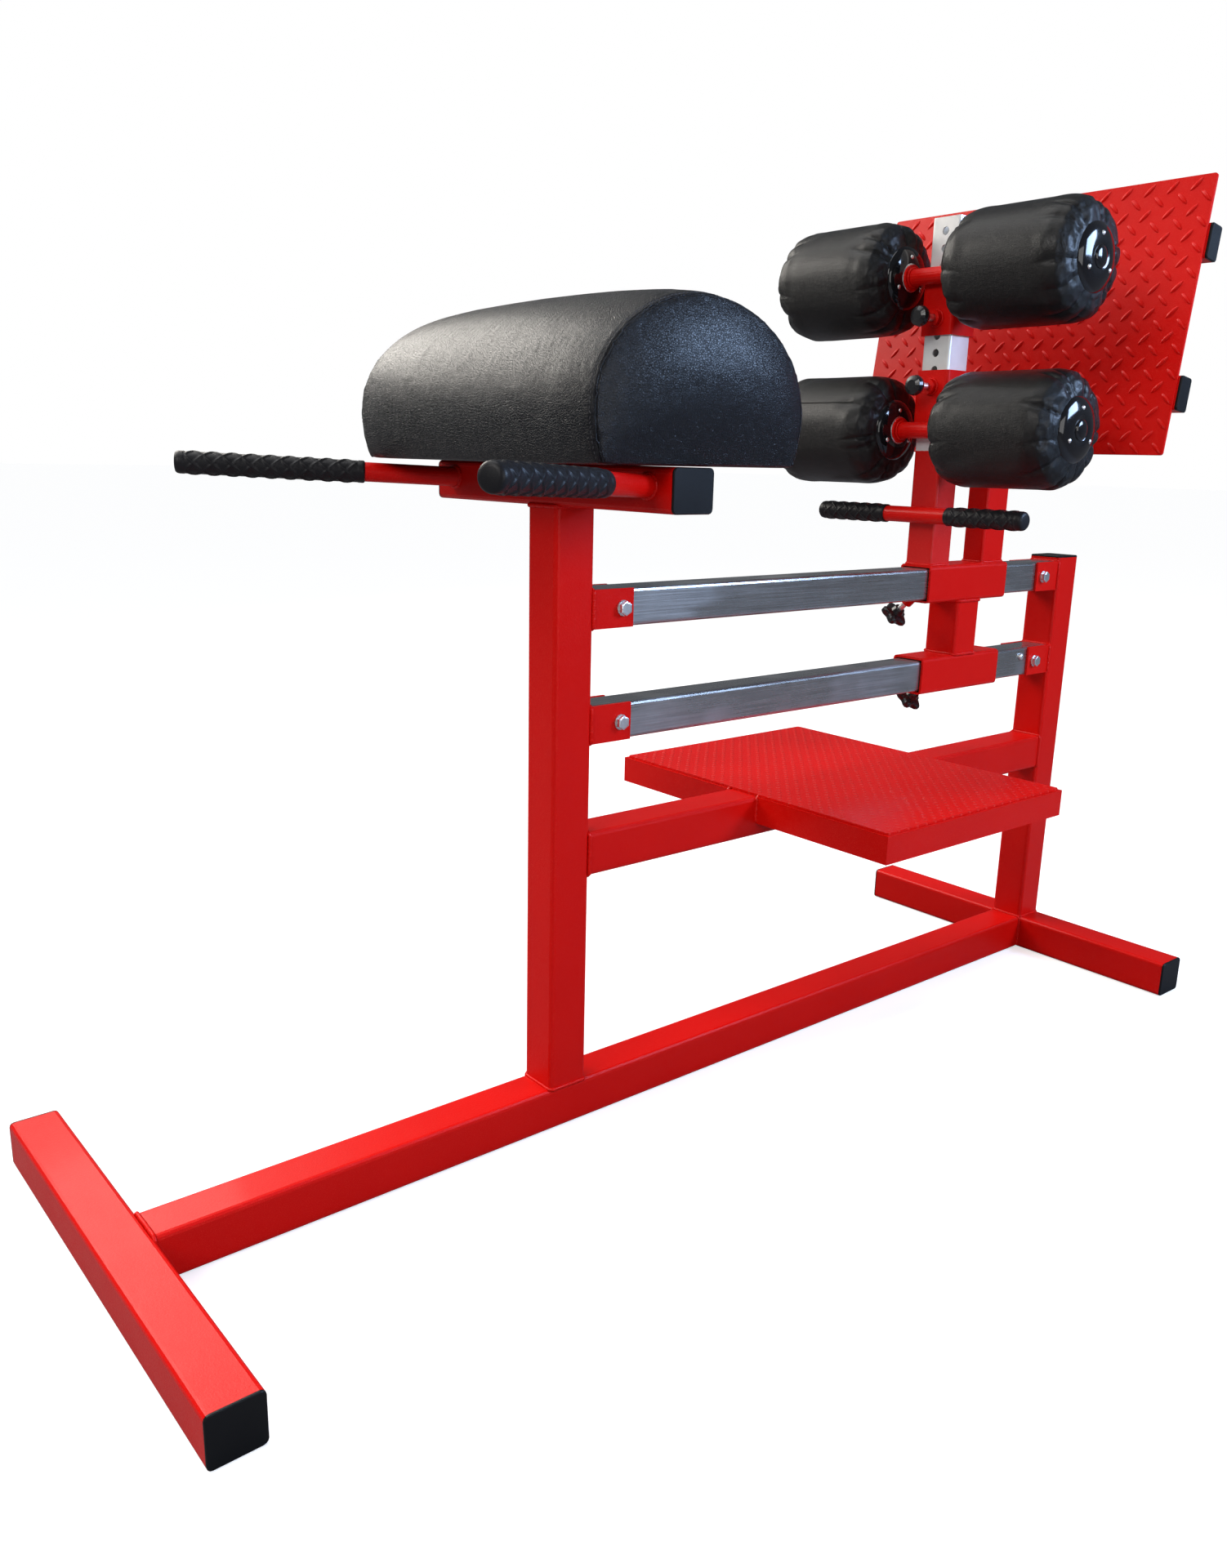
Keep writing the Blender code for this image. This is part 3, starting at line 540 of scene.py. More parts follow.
def walk(corners, closed):
    """Close points along straight lines between corners, each with the ripple's thickness."""
    line, run = [], 0.0
    pairs = list(zip(corners, corners[1:] + corners[:1])) if closed else list(zip(corners, corners[1:]))
    for a, b in pairs:
        steps = max(1, round((b - a).length / BEAD_STEP))
        for k in range(steps):
            run += (b - a).length / steps
            share = 0.86 + 0.22 * abs(math.sin(math.pi * run / RIPPLE)) + dice.uniform(-0.05, 0.05)
            jitter = Vector([dice.uniform(-1, 1) * JITTER for _ in range(3)])
            line.append((a.lerp(b, k / steps) + jitter, share))
    return line


def around(axis, middle, wide, high, skip_floor=False):
    """A bead round a tube's section, in the plane across `axis`."""
    u, v = AXES[axis]
    c = 0.004
    w, h = wide / 2, high / 2
    ring = [(w - c, h), (-w + c, h), (-w, h - c), (-w, -h + c),
            (-w + c, -h), (w - c, -h), (w, -h + c), (w, h - c)]
    if skip_floor:
        ring = [(w, -h + 0.003), (w, h - c), (w - c, h), (-w + c, h), (-w, h - c), (-w, -h + 0.003)]
    return [Vector(middle) + u * a + v * b for a, b in ring], not skip_floor


def hoop(axis, middle, radius, stretch=1.0, count=26):
    """A bead round a bar, stretched along the first of the plane's directions."""
    u, v = AXES[axis]
    return [Vector(middle) + u * radius * stretch * math.cos(t) + v * radius * math.sin(t) for t in
            (2 * math.pi * k / count for k in range(count))], True


def middle(node):
    low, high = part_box(node)
    return (low + high) / 2


def lay_beads(name, body, jobs, thick=0.0028):
    shut = [walk(*job) for job in jobs if job[1]]
    ends = [walk(*job) for job in jobs if not job[1]]
    bm = bmesh.new()
    for lines, closed in ((shut, True), (ends, False)):
        if lines:
            bm.from_mesh(threads(name, lines, thick, closed))
    return piece(name, bm, body, red_paint)


rail_low, rail_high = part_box("base_rail")
up_low, up_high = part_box("front_upright")
rear_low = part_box("rear_upright")[0]
beam_low, beam_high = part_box("mid_beam")
beam_z = (beam_low.z + beam_high.z) / 2
frame_jobs = [around("X", (rail_low.x, 0, TUBE / 2), TUBE, TUBE, True),
              around("X", (rail_high.x, 0, TUBE / 2), TUBE, TUBE, True),
              around("Z", (middle("front_upright").x, 0, up_low.z), TUBE, TUBE),
              around("Z", (middle("rear_upright").x, 0, rear_low.z), 0.0575, TUBE),
              around("Z", (middle("front_upright").x, 0, up_high.z), TUBE, TUBE),
              around("X", (beam_low.x, 0, beam_z), TUBE, TUBE),
              around("X", (beam_high.x, 0, beam_z), TUBE, TUBE)]
plate_low, plate_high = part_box("platform_frame_near")
bar_z = (plate_low.z + plate_high.z) / 2
for side in (-1, 1):
    for x in (plate_low.x + STEP_TUBE / 2, plate_high.x - STEP_TUBE / 2):
        frame_jobs.append(around("Y", (x, side * 0.0303, bar_z), STEP_TUBE, STEP_TUBE))
    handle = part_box("handle_tube_near" if side < 0 else "handle_tube_far")
    root = (handle[1].x, side * HANDLE_Y, HANDLE_Z)
    frame_jobs.append(hoop("X", root, 0.0128, 1 / math.cos(HANDLE_SPREAD)))
for end in ("front", "rear"):
    for where in ("upper", "lower"):
        low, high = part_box("rail_bracket_%s_%s" % (end, where))
        x = low.x if end == "front" else high.x
        frame_jobs.append(around("X", (x, 0, (low.z + high.z) / 2), high.y - low.y, high.z - low.z))
lay_beads("frame_weld_beads", "frame", frame_jobs)

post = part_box("roller_post")
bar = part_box("handlebar")
sled_jobs = []
for node, edge in (("sled_post", 0), ("sled_post", 1), ("roller_post", 0), ("footplate_post", 0)):
    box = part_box(node)
    size = box[1] - box[0]
    sled_jobs.append(around("Z", (middle(node).x, 0, box[edge].z), size.x, size.y))
for rise_by in (-0.0075, 0.0075):
    spot = Vector((post[0].x - 0.0012, 0, (bar[0].z + bar[1].z) / 2 + rise_by))
    sled_jobs.append(([spot - Vector((0, 0.025, 0)), spot + Vector((0, 0.025, 0))], False))
lay_beads("sled_weld_beads", "sled", sled_jobs)

for where in ("upper", "lower"):
    axle = middle("roller_hub_%s_near" % where)
    pin = middle("pull_pin_" + where)
    face = post[0].x - 0.005
    jobs = [hoop("X", (face, 0, pin.z), 0.0118)]
    for rise_by in (-0.0085, 0.0085):
        spot = Vector((face - 0.001, 0, axle.z + rise_by))
        jobs.append(([spot - Vector((0, 0.028, 0)), spot + Vector((0, 0.028, 0))], False))
    for side in (-1, 1):
        jobs.append(hoop("Y", (axle.x, side * 0.0410, axle.z), 0.0132))
    lay_beads("carrier_%s_weld_beads" % where, "carrier_" + where, jobs, 0.0022)

# %% [markdown]
# ## The footplate's raised bars
# Tread plate is rolled with short raised bars that lie crosswise, each like half a lens. The bars catch the
# light one by one, so they are modelled: a flattened ball is cut in half, and its copies are set out in two
# crossed grids over the plate.

# %% Footplate tread
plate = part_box("footplate")
lean = math.radians(8)
root = Vector((plate[0].x, 0, plate[0].z))
to_plate = Matrix.Translation(root) @ Matrix.Rotation(lean, 4, "Y")
TREAD, HALF_WIDE, TALL, MARGIN = 0.036, (plate[1].y - plate[0].y) / 2, 0.400, 0.008

seed = bmesh.new()
bmesh.ops.create_uvsphere(seed, u_segments=10, v_segments=6, radius=1)
bmesh.ops.scale(seed, vec=(0.0128, 0.0036, 0.0031), verts=seed.verts)
bmesh.ops.bisect_plane(seed, geom=seed.verts[:] + seed.edges[:] + seed.faces[:], plane_co=(0, 0, 0.0007),
                       plane_no=(0, 0, -1), clear_outer=True)
bmesh.ops.holes_fill(seed, edges=[e for e in seed.edges if e.is_boundary])
bmesh.ops.translate(seed, vec=(0, 0, -0.0009), verts=seed.verts)
lens_mesh = bpy.data.meshes.new("tread_bar")
seed.to_mesh(lens_mesh)
seed.free()
bm = bmesh.new()
outward = Matrix.Rotation(math.radians(-90), 4, "Y")
for grid, turn in ((0, 45), (1, -45)):
    for i in range(-9, 10):
        for j in range(0, 13):
            y, z = (i + grid / 2) * TREAD + 0.0110, (j + grid / 2) * TREAD + 0.0100
            if abs(y) < HALF_WIDE - MARGIN and MARGIN < z < TALL - MARGIN:
                before = len(bm.verts)
                bm.from_mesh(lens_mesh)
                bm.verts.ensure_lookup_table()
                fresh = bm.verts[before:]
                slanted = outward @ Matrix.Rotation(math.radians(turn), 4, "Z")
                spot = to_plate @ Matrix.Translation((0, y, z)) @ slanted
                bmesh.ops.transform(bm, matrix=spot, verts=fresh)
piece("footplate_tread_bars", bm, "sled", red_paint)

# %% [markdown]
# ## Swelling a cushion
# A cushion is foam squeezed into a sewn cover: the seams hold, and the cover bulges between them. The same
# can be had from a cloth simulation. The shape is remeshed evenly, its seams are pinned, a pressure inside
# blows it up for 20 frames, and no point may move further than a cap. A stretchy cover (low stiffness) swells
# smoothly; a stiff one cut with a little slack buckles into folds. It starts a little too small.

# %% Helper: swell a cover
FRAMES = 20


def swelled(name, bm, held, pressure, stiff, slack, cap, voxel):
    mesh = bpy.data.meshes.new(name)
    bm.to_mesh(mesh)
    bm.free()
    obj = bpy.data.objects.new(name, mesh)
    scene.collection.objects.link(obj)
    remesh = obj.modifiers.new("even", "REMESH")
    remesh.mode, remesh.voxel_size = "VOXEL", voxel
    obj.data = baked(obj)
    obj.modifiers.clear()
    start = [v.co.copy() for v in obj.data.vertices]
    group = obj.vertex_groups.new(name="held")
    group.add([v.index for v in obj.data.vertices if held(v.co)], 1.0, "REPLACE")
    cloth = obj.modifiers.new("cover", "CLOTH")
    cloth.settings.quality = 5
    cloth.settings.mass = 0.003
    cloth.settings.shrink_min = -slack
    cloth.settings.tension_stiffness = cloth.settings.compression_stiffness = stiff
    cloth.settings.shear_stiffness = stiff / 3
    cloth.settings.use_pressure = True
    cloth.settings.uniform_pressure_force = pressure
    cloth.settings.vertex_group_mass = "held"
    cloth.settings.effector_weights.gravity = 0
    cloth.point_cache.frame_start, cloth.point_cache.frame_end = 1, FRAMES
    for step in range(1, FRAMES + 1):
        scene.frame_set(step)
    blown = baked(obj)
    far = 0.0
    for vertex, at in zip(blown.vertices, start):
        move = vertex.co - at
        far = max(far, move.length)
        if move.length > cap:
            vertex.co = at + move.normalized() * cap
    print(name, "swelled by up to", round(far * 1000, 1), "mm, capped at", round(cap * 1000, 1))
    bpy.data.objects.remove(obj)
    scene.frame_set(1)
    return blown


def finer(mesh):
    """The mesh with one smooth subdivision worked in."""
    obj = bpy.data.objects.new("finer", mesh)
    scene.collection.objects.link(obj)
    sub = obj.modifiers.new("smooth", "SUBSURF")
    sub.levels = sub.render_levels = 1
    mesh = baked(obj)
    bpy.data.objects.remove(obj)
    return mesh


print("cushion helpers ready")

# %% [markdown]
# ## The body pad
# The pad is a half roll: flat underneath where it is stapled to a board, drawn in at the sides, and round on
# top. Three panels of vinyl are sewn together along a seam at each end. A ring of points is extruded along
# the pad and put on the section, which draws in at the two seams, and domes out over the end panels.

# %% Body pad, first shape
pad_low, pad_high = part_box("body_pad")
pad_mid = (pad_low + pad_high) / 2
SWELL, DOME = 0.013, 0.013
HALF, SEAM_Y = (pad_high.x - pad_low.x) / 2 - SWELL, (pad_high.y - pad_low.y) / 2 - DOME
BASE_Z, WIDE_Z, CROWN_Z = pad_low.z, 0.944, pad_high.z - SWELL * 0.6
BASE_HALF = 0.139


def on_section(turn):
    """The pad's outline: a round crown down to the widest height, then drawn in to the flat base."""
    t = (turn + math.pi) % (2 * math.pi) - math.pi
    if t >= 0:
        return Vector((HALF * math.cos(t), 0, WIDE_Z + (CROWN_Z - WIDE_Z) * math.sin(t)))
    side, t = (1, -t) if t > -math.pi / 2 else (-1, math.pi + t)
    down = math.radians(38)
    if t < down:
        s = t / down
        return Vector((side * (HALF + (BASE_HALF - HALF) * s * s), 0, WIDE_Z + (BASE_Z - WIDE_Z) * s))
    s = (t - down) / (math.pi / 2 - down)
    return Vector((side * BASE_HALF * (1 - s), 0, BASE_Z))


def pad_point(turn, y, swell, size):
    p = on_section(turn)
    heart = Vector((0, 0, (BASE_Z + CROWN_Z) / 2))
    out = (p - heart).normalized() * swell
    flat = p.z < BASE_Z + 1e-6
    p = Vector((p.x + out.x, 0, p.z if flat else p.z + out.z * 0.6))
    p = heart + (p - heart) * size
    return Vector((pad_mid.x + p.x, pad_mid.y + y, p.z))


EDGE = 0.004
half_run = [(SEAM_Y + 0.009 * (1 - s * s), -EDGE, s) for s in (0.25, 0.5, 0.75, 0.92)]
half_run += [(SEAM_Y, -EDGE, 1), (SEAM_Y - EDGE, -0.001, 1),
             (SEAM_Y - 0.05, 0.005, 1), (SEAM_Y - 0.12, 0.008, 1)]
run = [(-y, swell, s) for y, swell, s in half_run] + [(0, 0.009, 1)] + half_run[::-1]
SIDES = 96
bm = bmesh.new()
ring = bmesh.ops.create_circle(bm, cap_ends=True, segments=SIDES, radius=1)["verts"]
turns = [math.atan2(v.co.y, v.co.x) for v in ring]
edges = bm.edges[:]
for k, station in enumerate(run):
    if k:
        grown = bmesh.ops.extrude_edge_only(bm, edges=edges)["geom"]
        fresh = [g for g in grown if isinstance(g, bmesh.types.BMVert)]
        old = {v: turn for v, turn in zip(ring, turns)}
        partner = {}
        for v in fresh:
            for e in v.link_edges:
                if e.other_vert(v) in old:
                    partner[v] = old[e.other_vert(v)]
        ring, turns = list(partner), list(partner.values())
        edges = [g for g in grown if isinstance(g, bmesh.types.BMEdge) and all(v in partner for v in g.verts)]
    for v, turn in zip(ring, turns):
        v.co = pad_point(turn, *station)
bmesh.ops.contextual_create(bm, geom=edges)
bmesh.ops.recalc_face_normals(bm, faces=bm.faces)
print("pad outline of", len(bm.verts), "points")

# %% Body pad, swelled


def pad_held(p):
    at_seam = abs(abs(p.y - pad_mid.y) - SEAM_Y) < 0.0045 and pad_ring_gap(p) < 0.009
    return at_seam or p.z < BASE_Z + 0.002


def pad_ring_gap(p):
    """How far inside the seam's outline a point is, seen along the pad."""
    turn = math.atan2((p.z - WIDE_Z) / (CROWN_Z - WIDE_Z), (p.x - pad_mid.x) / HALF)
    rim = on_section(turn) if p.z > WIDE_Z else Vector((math.copysign(HALF, p.x - pad_mid.x), 0, p.z))
    return (Vector((rim.x, 0, rim.z)) - Vector((p.x - pad_mid.x, 0, p.z))).length


pad_mesh = finer(swelled("body_pad_cover_work", bm, pad_held,
                         pressure=13.0, stiff=1.0, slack=0.0, cap=0.0085, voxel=0.005))
spans = [[min(v.co[k] for v in pad_mesh.vertices), max(v.co[k] for v in pad_mesh.vertices)] for k in range(3)]
FULL = 0.002
grown = [(pad_high[k] - pad_low[k] + 2 * FULL) / (spans[k][1] - spans[k][0]) for k in range(2)]
grown.append((pad_high.z + FULL - BASE_Z) / (spans[2][1] - BASE_Z))
for v in pad_mesh.vertices:
    v.co = Vector((pad_mid.x + (v.co.x - (spans[0][0] + spans[0][1]) / 2) * grown[0],
                   pad_mid.y + (v.co.y - pad_mid.y) * grown[1], BASE_Z + max(v.co.z - BASE_Z, 0) * grown[2]))
print("pad cover drawn out by", [round(g, 3) for g in grown])
SEAM_Y *= grown[1]
pad_tree = BVHTree.FromPolygons([v.co for v in pad_mesh.vertices], [p.vertices for p in pad_mesh.polygons])

# %% [markdown]
# ## The pad's seams
# Each end seam is a narrow groove with a cord in it, and a row of stitches runs beside it in a shallow line
# of its own. The mesh is cut finer in a band along the seams first, since a groove needs points to live in.

# %% Body pad, seams
STITCH_IN, STITCH_PITCH, STITCH_HALF = 0.0070, 0.0046, 0.0016


def seam_line(side, inward, count=240):
    """Points along the end seam from base to base, `inward` from it along the roll."""
    line = []
    for k in range(count + 1):
        turn = math.radians(-36) + (math.pi + math.radians(72)) * k / count
        guess = pad_point(turn, side * (SEAM_Y - inward), 0.002, 1)
        line.append(pad_tree.find_nearest(guess)[0])
    return line


stitches, seam_points, stitch_points = [], [], []
for side in (-1, 1):
    seam, line = seam_line(side, 0.0), seam_line(side, STITCH_IN, 480)
    seam_points += seam
    stitch_points += line
    gone = 0.0
    for p, q in zip(line, line[1:]):
        gone += (q - p).length
        if gone > STITCH_PITCH:
            stitches.append((p, q))
            gone = 0.0


def near(points):
    """A tree that tells how far a place is from a line of points."""
    tree = KDTree(len(points))
    for k, p in enumerate(points):
        tree.insert(p, k)
    tree.balance()
    return tree


to_seam, to_stitch = near(seam_points), near(stitch_points)
bm = bmesh.new()
bm.from_mesh(pad_mesh)
band = [e for e in bm.edges if max(to_seam.find(v.co)[2] for v in e.verts) < 0.016]
bmesh.ops.subdivide_edges(bm, edges=band, cuts=2, use_grid_fill=True)
bmesh.ops.triangulate(bm, faces=[f for f in bm.faces if len(f.verts) > 4])
bm.normal_update()
moves = []
for v in bm.verts:
    seam_off, stitch_off = to_seam.find(v.co)[2], to_stitch.find(v.co)[2]
    sink = 0.0019 * math.exp(-(seam_off / 0.0017) ** 2) + 0.0007 * math.exp(-(stitch_off / 0.0015) ** 2)
    pucker = 0.0008 * noise.noise(v.co * 95) * math.exp(-(seam_off / 0.012) ** 2)
    moves.append(v.normal * (sink + pucker) if v.co.z > BASE_Z + 0.003 else Vector((0, 0, 0)))
for v, move in zip(bm.verts, moves):
    v.co -= move
bm.to_mesh(pad_mesh)
bm.free()
pad_tree = BVHTree.FromPolygons([v.co for v in pad_mesh.vertices], [p.vertices for p in pad_mesh.polygons])


def on_cover(place, lift):
    spot, normal, _, _ = pad_tree.find_nearest(place)
    return spot + normal * lift


half = len(seam_points) // 2
welts = [[(on_cover(p, 0.0002), 1.0) for p in part] for part in (seam_points[:half], seam_points[half:])]
rows = []
for p, q in stitches:
    way = (q - p).normalized() * STITCH_HALF
    rows.append([(on_cover(q + way * k, 0.0003 * (1 - k * k)), 1 - 0.3 * k * k) for k in (-1, 0, 1)])
pad_piece = piece_of("body_pad_cover", pad_mesh, "frame", pad_vinyl, stands_for=("body_pad",))
thread_look = plastic("seam_thread", (0.03, 0.03, 0.035, 1), (0.10, 0.10, 0.11, 1), 0.40, 2400, 0.0002)
piece_of("body_pad_welts", threads("body_pad_welts", welts, 0.0010, False, 1), "frame", pad_vinyl)
piece_of("body_pad_stitches", threads("body_pad_stitches", rows, 0.0006, False, 0), "frame", thread_look)

# %% [markdown]
# ## The foot rollers
# Each roller is a thick sleeve of foam on a hub, and its vinyl cover is drawn in at both ends and tucked
# behind the end discs, which gathers it into uneven folds. The sleeve is spun from its section and swelled
# once; then four copies get their own folds by moving points: each fold is a valley that runs from the disc
# over the shoulder and fades out along the roller.

# %% Roller, swelled once
pad_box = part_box("roller_pad_upper_near")
REACH = (pad_box[1].y - pad_box[0].y) / 2
RADIUS = (pad_box[1].z - pad_box[0].z) / 2
HUB = (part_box("roller_hub_upper_near")[1].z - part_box("roller_hub_upper_near")[0].z) / 2
inset, BORE = 0.0035, 0.0158
section = [(BORE, -REACH), (0.050, -REACH), (RADIUS - 0.020, -REACH + 0.004),
           (RADIUS - 0.009, -REACH + 0.013), (RADIUS - inset, -REACH + 0.032),
           (RADIUS - inset, REACH - 0.032), (RADIUS - 0.009, REACH - 0.013),
           (RADIUS - 0.020, REACH - 0.004), (0.050, REACH), (BORE, REACH)]
bm = bmesh.new()
revolve(bm, [(r, y, 0) for r, y in section], (0, 1, 0), 72)
sleeve_mesh = finer(swelled("roller_cover_work", bm, lambda p: math.hypot(p.x, p.z) < HUB + 0.004,
                            pressure=12.0, stiff=15.0, slack=0.025, cap=0.0045, voxel=0.0045))
print("one roller has", len(sleeve_mesh.vertices), "points")

# %% Rollers with their folds
TUCK, FOLD_REACH, DEEPEST = 0.004, 0.075, 0.0068


def smooth_step(value, low, high):
    t = max(0.0, min(1.0, (value - low) / (high - low)))
    return t * t * (3 - 2 * t)


def gather(mesh, seed):
    """Uneven folds at both ends of a roller that lies along Y at the origin."""
    luck = random.Random(seed)
    folds = []
    for end in (-1, 1):
        count = 12
        for k in range(count):
            folds.append((end, 2 * math.pi * (k + luck.uniform(-0.33, 0.33)) / count,
                          luck.uniform(0.035, 0.10), luck.uniform(0.0026, 0.0066),
                          luck.uniform(-9, 9), luck.uniform(0.024, 0.050)))
    normals = [v.normal.copy() for v in mesh.vertices]
    for v, n in zip(mesh.vertices, normals):
        out = math.hypot(v.co.x, v.co.z)
        end = 1 if v.co.y > 0 else -1
        deep = REACH - abs(v.co.y)
        if out < HUB - TUCK or deep > FOLD_REACH:
            continue
        angle = math.atan2(v.co.z, v.co.x)
        travel = deep + (RADIUS - out)
        sink = 0.0
        for which, centre, wide, depth, skew, length in folds:
            if which == end:
                off = (angle - centre - skew * travel * 0.35 + math.pi) % (2 * math.pi) - math.pi
                if abs(off) < 4 * wide:
                    fade = 1 - smooth_step(deep, length * 0.45, length + 0.02)
                    sink += depth * math.exp(-(abs(off) / wide) ** 0.95) * fade
        lump = noise.noise(Vector((2 * math.cos(angle), 2 * math.sin(angle), deep * 34 + seed)))
        swell = 0.0022 * lump * (1 - smooth_step(deep, 0.03, 0.07))
        v.co -= n * (min(sink, DEEPEST) - swell) * smooth_step(out, HUB - TUCK, HUB + 0.010)


seam_dark = plastic("roller_seam_shadow", (0.0006, 0.0006, 0.0007, 1), (0.002, 0.002, 0.002, 1),
                    0.6, 1500, 0.0002)
for seed, (where, side) in enumerate((a, b) for a in ("upper", "lower") for b in ("near", "far")):
    name = "%s_%s" % (where, side)
    mesh = sleeve_mesh.copy()
    gather(mesh, seed + 3)
    centre = middle("roller_pad_" + name)
    flip = Matrix.Rotation(math.pi if side == "far" else 0, 4, "Z")
    spin = flip @ Matrix.Rotation(math.radians(70 * seed), 4, "Y")
    mesh.transform(Matrix.Translation(centre) @ spin)
    roll_tree = BVHTree.FromPolygons([v.co for v in mesh.vertices], [p.vertices for p in mesh.polygons])
    turn = math.radians(151 if name == "lower_far" else 20 + 31 * seed)
    seam = []
    for k in range(61):
        along = (k / 30 - 1) * (REACH - 0.030)
        guess = centre + Vector((math.cos(turn) * RADIUS, along, math.sin(turn) * RADIUS))
        spot, normal, _, _ = roll_tree.find_nearest(guess)
        seam.append((spot + normal * 0.0001, 1.0))
    body = "roller_" + name
    piece_of("roller_seam_" + name, threads("roller_seam", [seam], 0.0007, False, 0), body, seam_dark)
    cover = piece_of("roller_cover_" + name, mesh, body, roller_vinyl,
                     stands_for=("roller_pad_" + name,))

# %% [markdown]
# ## Small hardware on the rollers
# The end discs are low polished domes, each held by three small screws. A black plug closes the hub over the
# axle's end, and a pale washer lies between the axle's flange and the inner disc. All are round, so each is
# spun from its section; the section is the only thing to draw.

# %% Discs' screws, plugs and washers


def spun(bm, section, closed, place, steps=40):
    """Spin (radius, height) points about Z and put the result in place."""
    part = bmesh.new()
    revolve(part, [(r, 0, z) for r, z in section], (0, 0, 1), steps, closed)
    bmesh.ops.transform(part, matrix=place, verts=part.verts)
    mesh = bpy.data.meshes.new("spun")
    part.to_mesh(mesh)
    part.free()
    bm.from_mesh(mesh)
    bpy.data.meshes.remove(mesh)


def facing(spot, y, way):
    """A place at `y` on the line along Y through `spot`, turned so that Z points along +Y or -Y."""
    return Matrix.Translation((spot.x, y, spot.z)) @ Matrix.Rotation(math.radians(-90 * way), 4, "X")


DISC = [(0.0096, 0.0040), (0.0115, 0.0034), (0.0135, 0.0010), (0.0160, 0.0000), (0.0220, -0.0006),
        (0.0290, 0.0002), (0.0360, 0.0018), (0.0420, 0.0042), (0.0455, 0.0068), (0.0470, 0.0092),
        (0.0466, 0.0106), (0.0440, 0.0112), (0.0152, 0.0112)]
SCREW = [(0, 0.0022), (0.0012, 0.0021), (0.0026, 0.0015), (0.0034, 0.0004), (0.0035, -0.0005), (0, -0.0005)]
PLUG = [(0, 0.0036), (0.006, 0.0034), (0.011, 0.0026), (0.0142, 0.0012), (0.0150, 0.0000), (0.0150, -0.0006),
        (0.0105, -0.0006), (0.0105, 0.0012), (0, 0.0024)]
WASHER = [(0.0100, 0.0001), (0.0225, 0.0001), (0.0225, 0.0005), (0.0100, 0.0005)]
SCREW_RING = 0.030
for where in ("upper", "lower"):
    for side, sign in (("near", -1), ("far", 1)):
        name = "%s_%s" % (where, side)
        low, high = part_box("roller_hub_" + name)
        axle = (low + high) / 2
        screws, plug, washer, hub = bmesh.new(), bmesh.new(), bmesh.new(), bmesh.new()
        tall = high.y - low.y
        spun(hub, [(r, tall - d) for r, d in DISC] + [(r, d) for r, d in DISC[::-1]], True,
             facing(axle, low.y, 1), 64)
        body = "roller_" + name
        piece("roller_hub_%s_domed" % name, hub, body, disc_plastic,
              stands_for=("roller_hub_" + name,))
        for y, out in ((low.y, -1), (high.y, 1)):
            for k in range(3):
                t = math.radians(90 + 120 * k)
                hole = Vector((SCREW_RING * math.cos(t), SCREW_RING * math.sin(t), -0.0009))
                spun(screws, SCREW, False, facing(axle, y, out) @ Matrix.Translation(hole), 14)
        outer_y, inner_y = (high.y, low.y) if sign > 0 else (low.y, high.y)
        spun(plug, PLUG, False, facing(axle, outer_y, sign))
        spun(washer, WASHER, True, facing(axle, inner_y, -sign))
        piece("roller_screws_" + name, screws, body, plated)
        piece("roller_plug_" + name, plug, body, disc_plastic)
        piece("roller_washer_" + name, washer, body, plated)

# %% [markdown]
# ## Ribbed rubber grips
# The grips are pushed onto the bars and moulded with slanting ribs that cross into large diamonds. The grip
# is spun from its section, with close rows along the ribbed length, and the points are pushed outwards by
# two crossed waves. Real ribs were chosen over a bump, since they show on the grip's outline.

# %% Grips
RIB_PITCH, HANDLE_LENGTH, GRIP_LENGTH = 0.0236, 0.354, 0.236


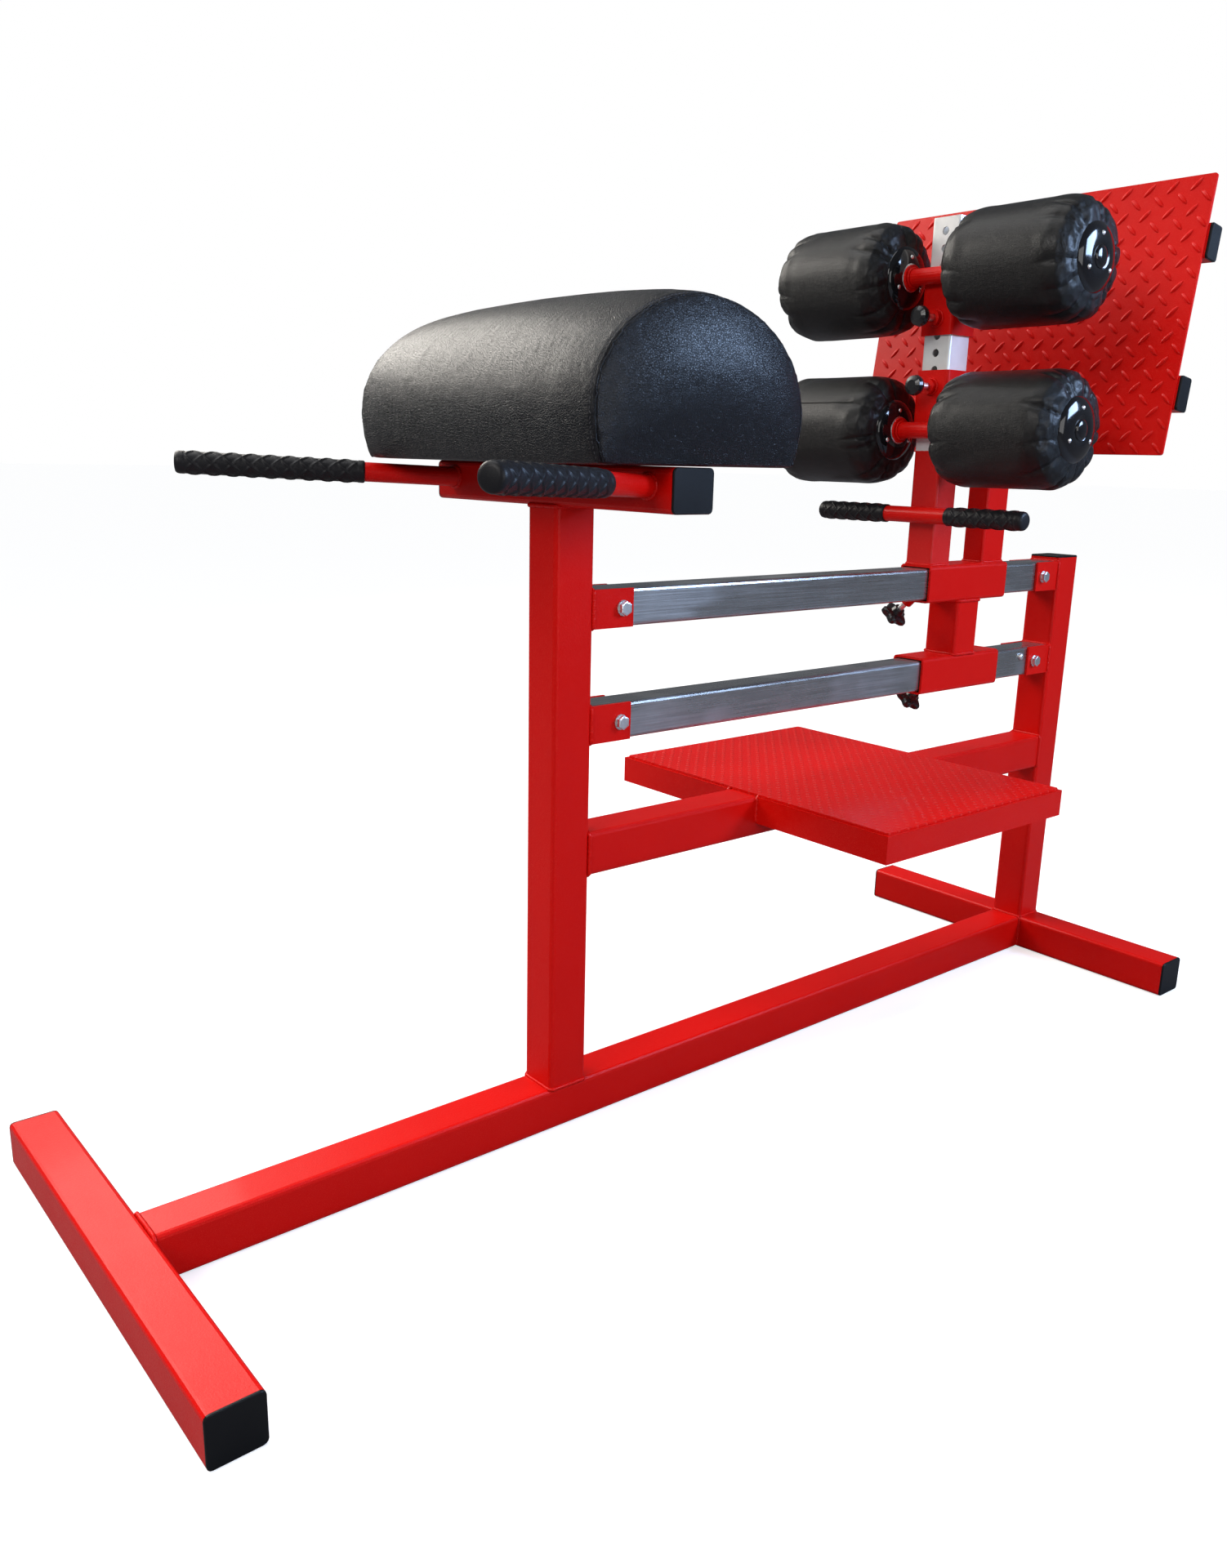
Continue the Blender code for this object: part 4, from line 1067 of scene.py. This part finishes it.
def ribbed_grip(name, body, start, way, length):
    r, bore, rows = 0.0143, 0.0129, int(length / 0.0013)
    outer = [(bore, 0.0), (r - 0.0010, 0.0), (r, 0.0015)]
    outer += [(r, 0.004 + (length - 0.014) * k / rows) for k in range(rows + 1)]
    outer += [(r, length - 0.006), (r - 0.0006, length - 0.003), (r - 0.0025, length - 0.0008),
              (r - 0.006, length), (0, length)]
    inner = [(0, length - 0.0030), (bore, length - 0.0030)]
    part = bmesh.new()
    revolve(part, [(a, 0, z) for a, z in outer + inner], (0, 0, 1), 64)
    for v in part.verts:
        out = math.hypot(v.co.x, v.co.y)
        if out > r - 0.0002 and 0.008 < v.co.z < length - 0.012:
            angle, along = math.atan2(v.co.y, v.co.x), 2 * math.pi * v.co.z / RIB_PITCH
            fall = smooth_step(v.co.z, length - 0.016, length - 0.012)
            fade = smooth_step(v.co.z, 0.008, 0.012) * (1 - fall)
            one, two = math.cos(4 * angle + along), math.cos(4 * angle - along)
            rib = 0.0013 * smooth_step(max(one, two), 0.74, 0.96) * fade - 0.0004
            v.co.x *= (out + rib) / out
            v.co.y *= (out + rib) / out
    turn = way.to_track_quat("Z", "Y").to_matrix().to_4x4()
    bmesh.ops.transform(part, matrix=Matrix.Translation(start) @ turn, verts=part.verts)
    piece(name + "_ribbed", part, body, grip_rubber, stands_for=(name,))


face_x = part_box("handle_tube_near")[1].x
for side, sign in (("near", -1), ("far", 1)):
    lift = math.radians(1.9)
    way = Vector((-math.cos(HANDLE_SPREAD) * math.cos(lift), sign * math.sin(HANDLE_SPREAD) * math.cos(lift),
                  math.sin(lift)))
    begin = Vector((face_x, sign * HANDLE_Y, HANDLE_Z)) + way * (HANDLE_LENGTH - GRIP_LENGTH)
    ribbed_grip("handle_grip_" + side, "frame", begin, way, GRIP_LENGTH)
    low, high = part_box("handlebar_grip_" + side)
    bar_at = middle("handlebar")
    begin = Vector((bar_at.x, high.y if sign < 0 else low.y, bar_at.z))
    ribbed_grip("handlebar_grip_" + side, "sled", begin, Vector((0, sign, 0)), high.y - low.y)

# %% [markdown]
# ## The stop screw
# A small screw stands out of the lower rail's near side by its rear end, and keeps the sled from running
# into the bracket.

# %% Stop screw
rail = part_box("slide_rail_lower")
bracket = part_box("rail_bracket_rear_lower")
stop = bmesh.new()
HEAD = [(0, 0.0050), (0.0032, 0.0048), (0.0056, 0.0034), (0.0062, 0.0012), (0.0062, -0.0010), (0, -0.0010)]
spot = Vector((bracket[0].x - 0.019, 0, middle("slide_rail_lower").z + 0.0096))
spun(stop, HEAD, False, facing(spot, rail[0].y, -1), 24)
piece("stop_screw", stop, "frame", plated)
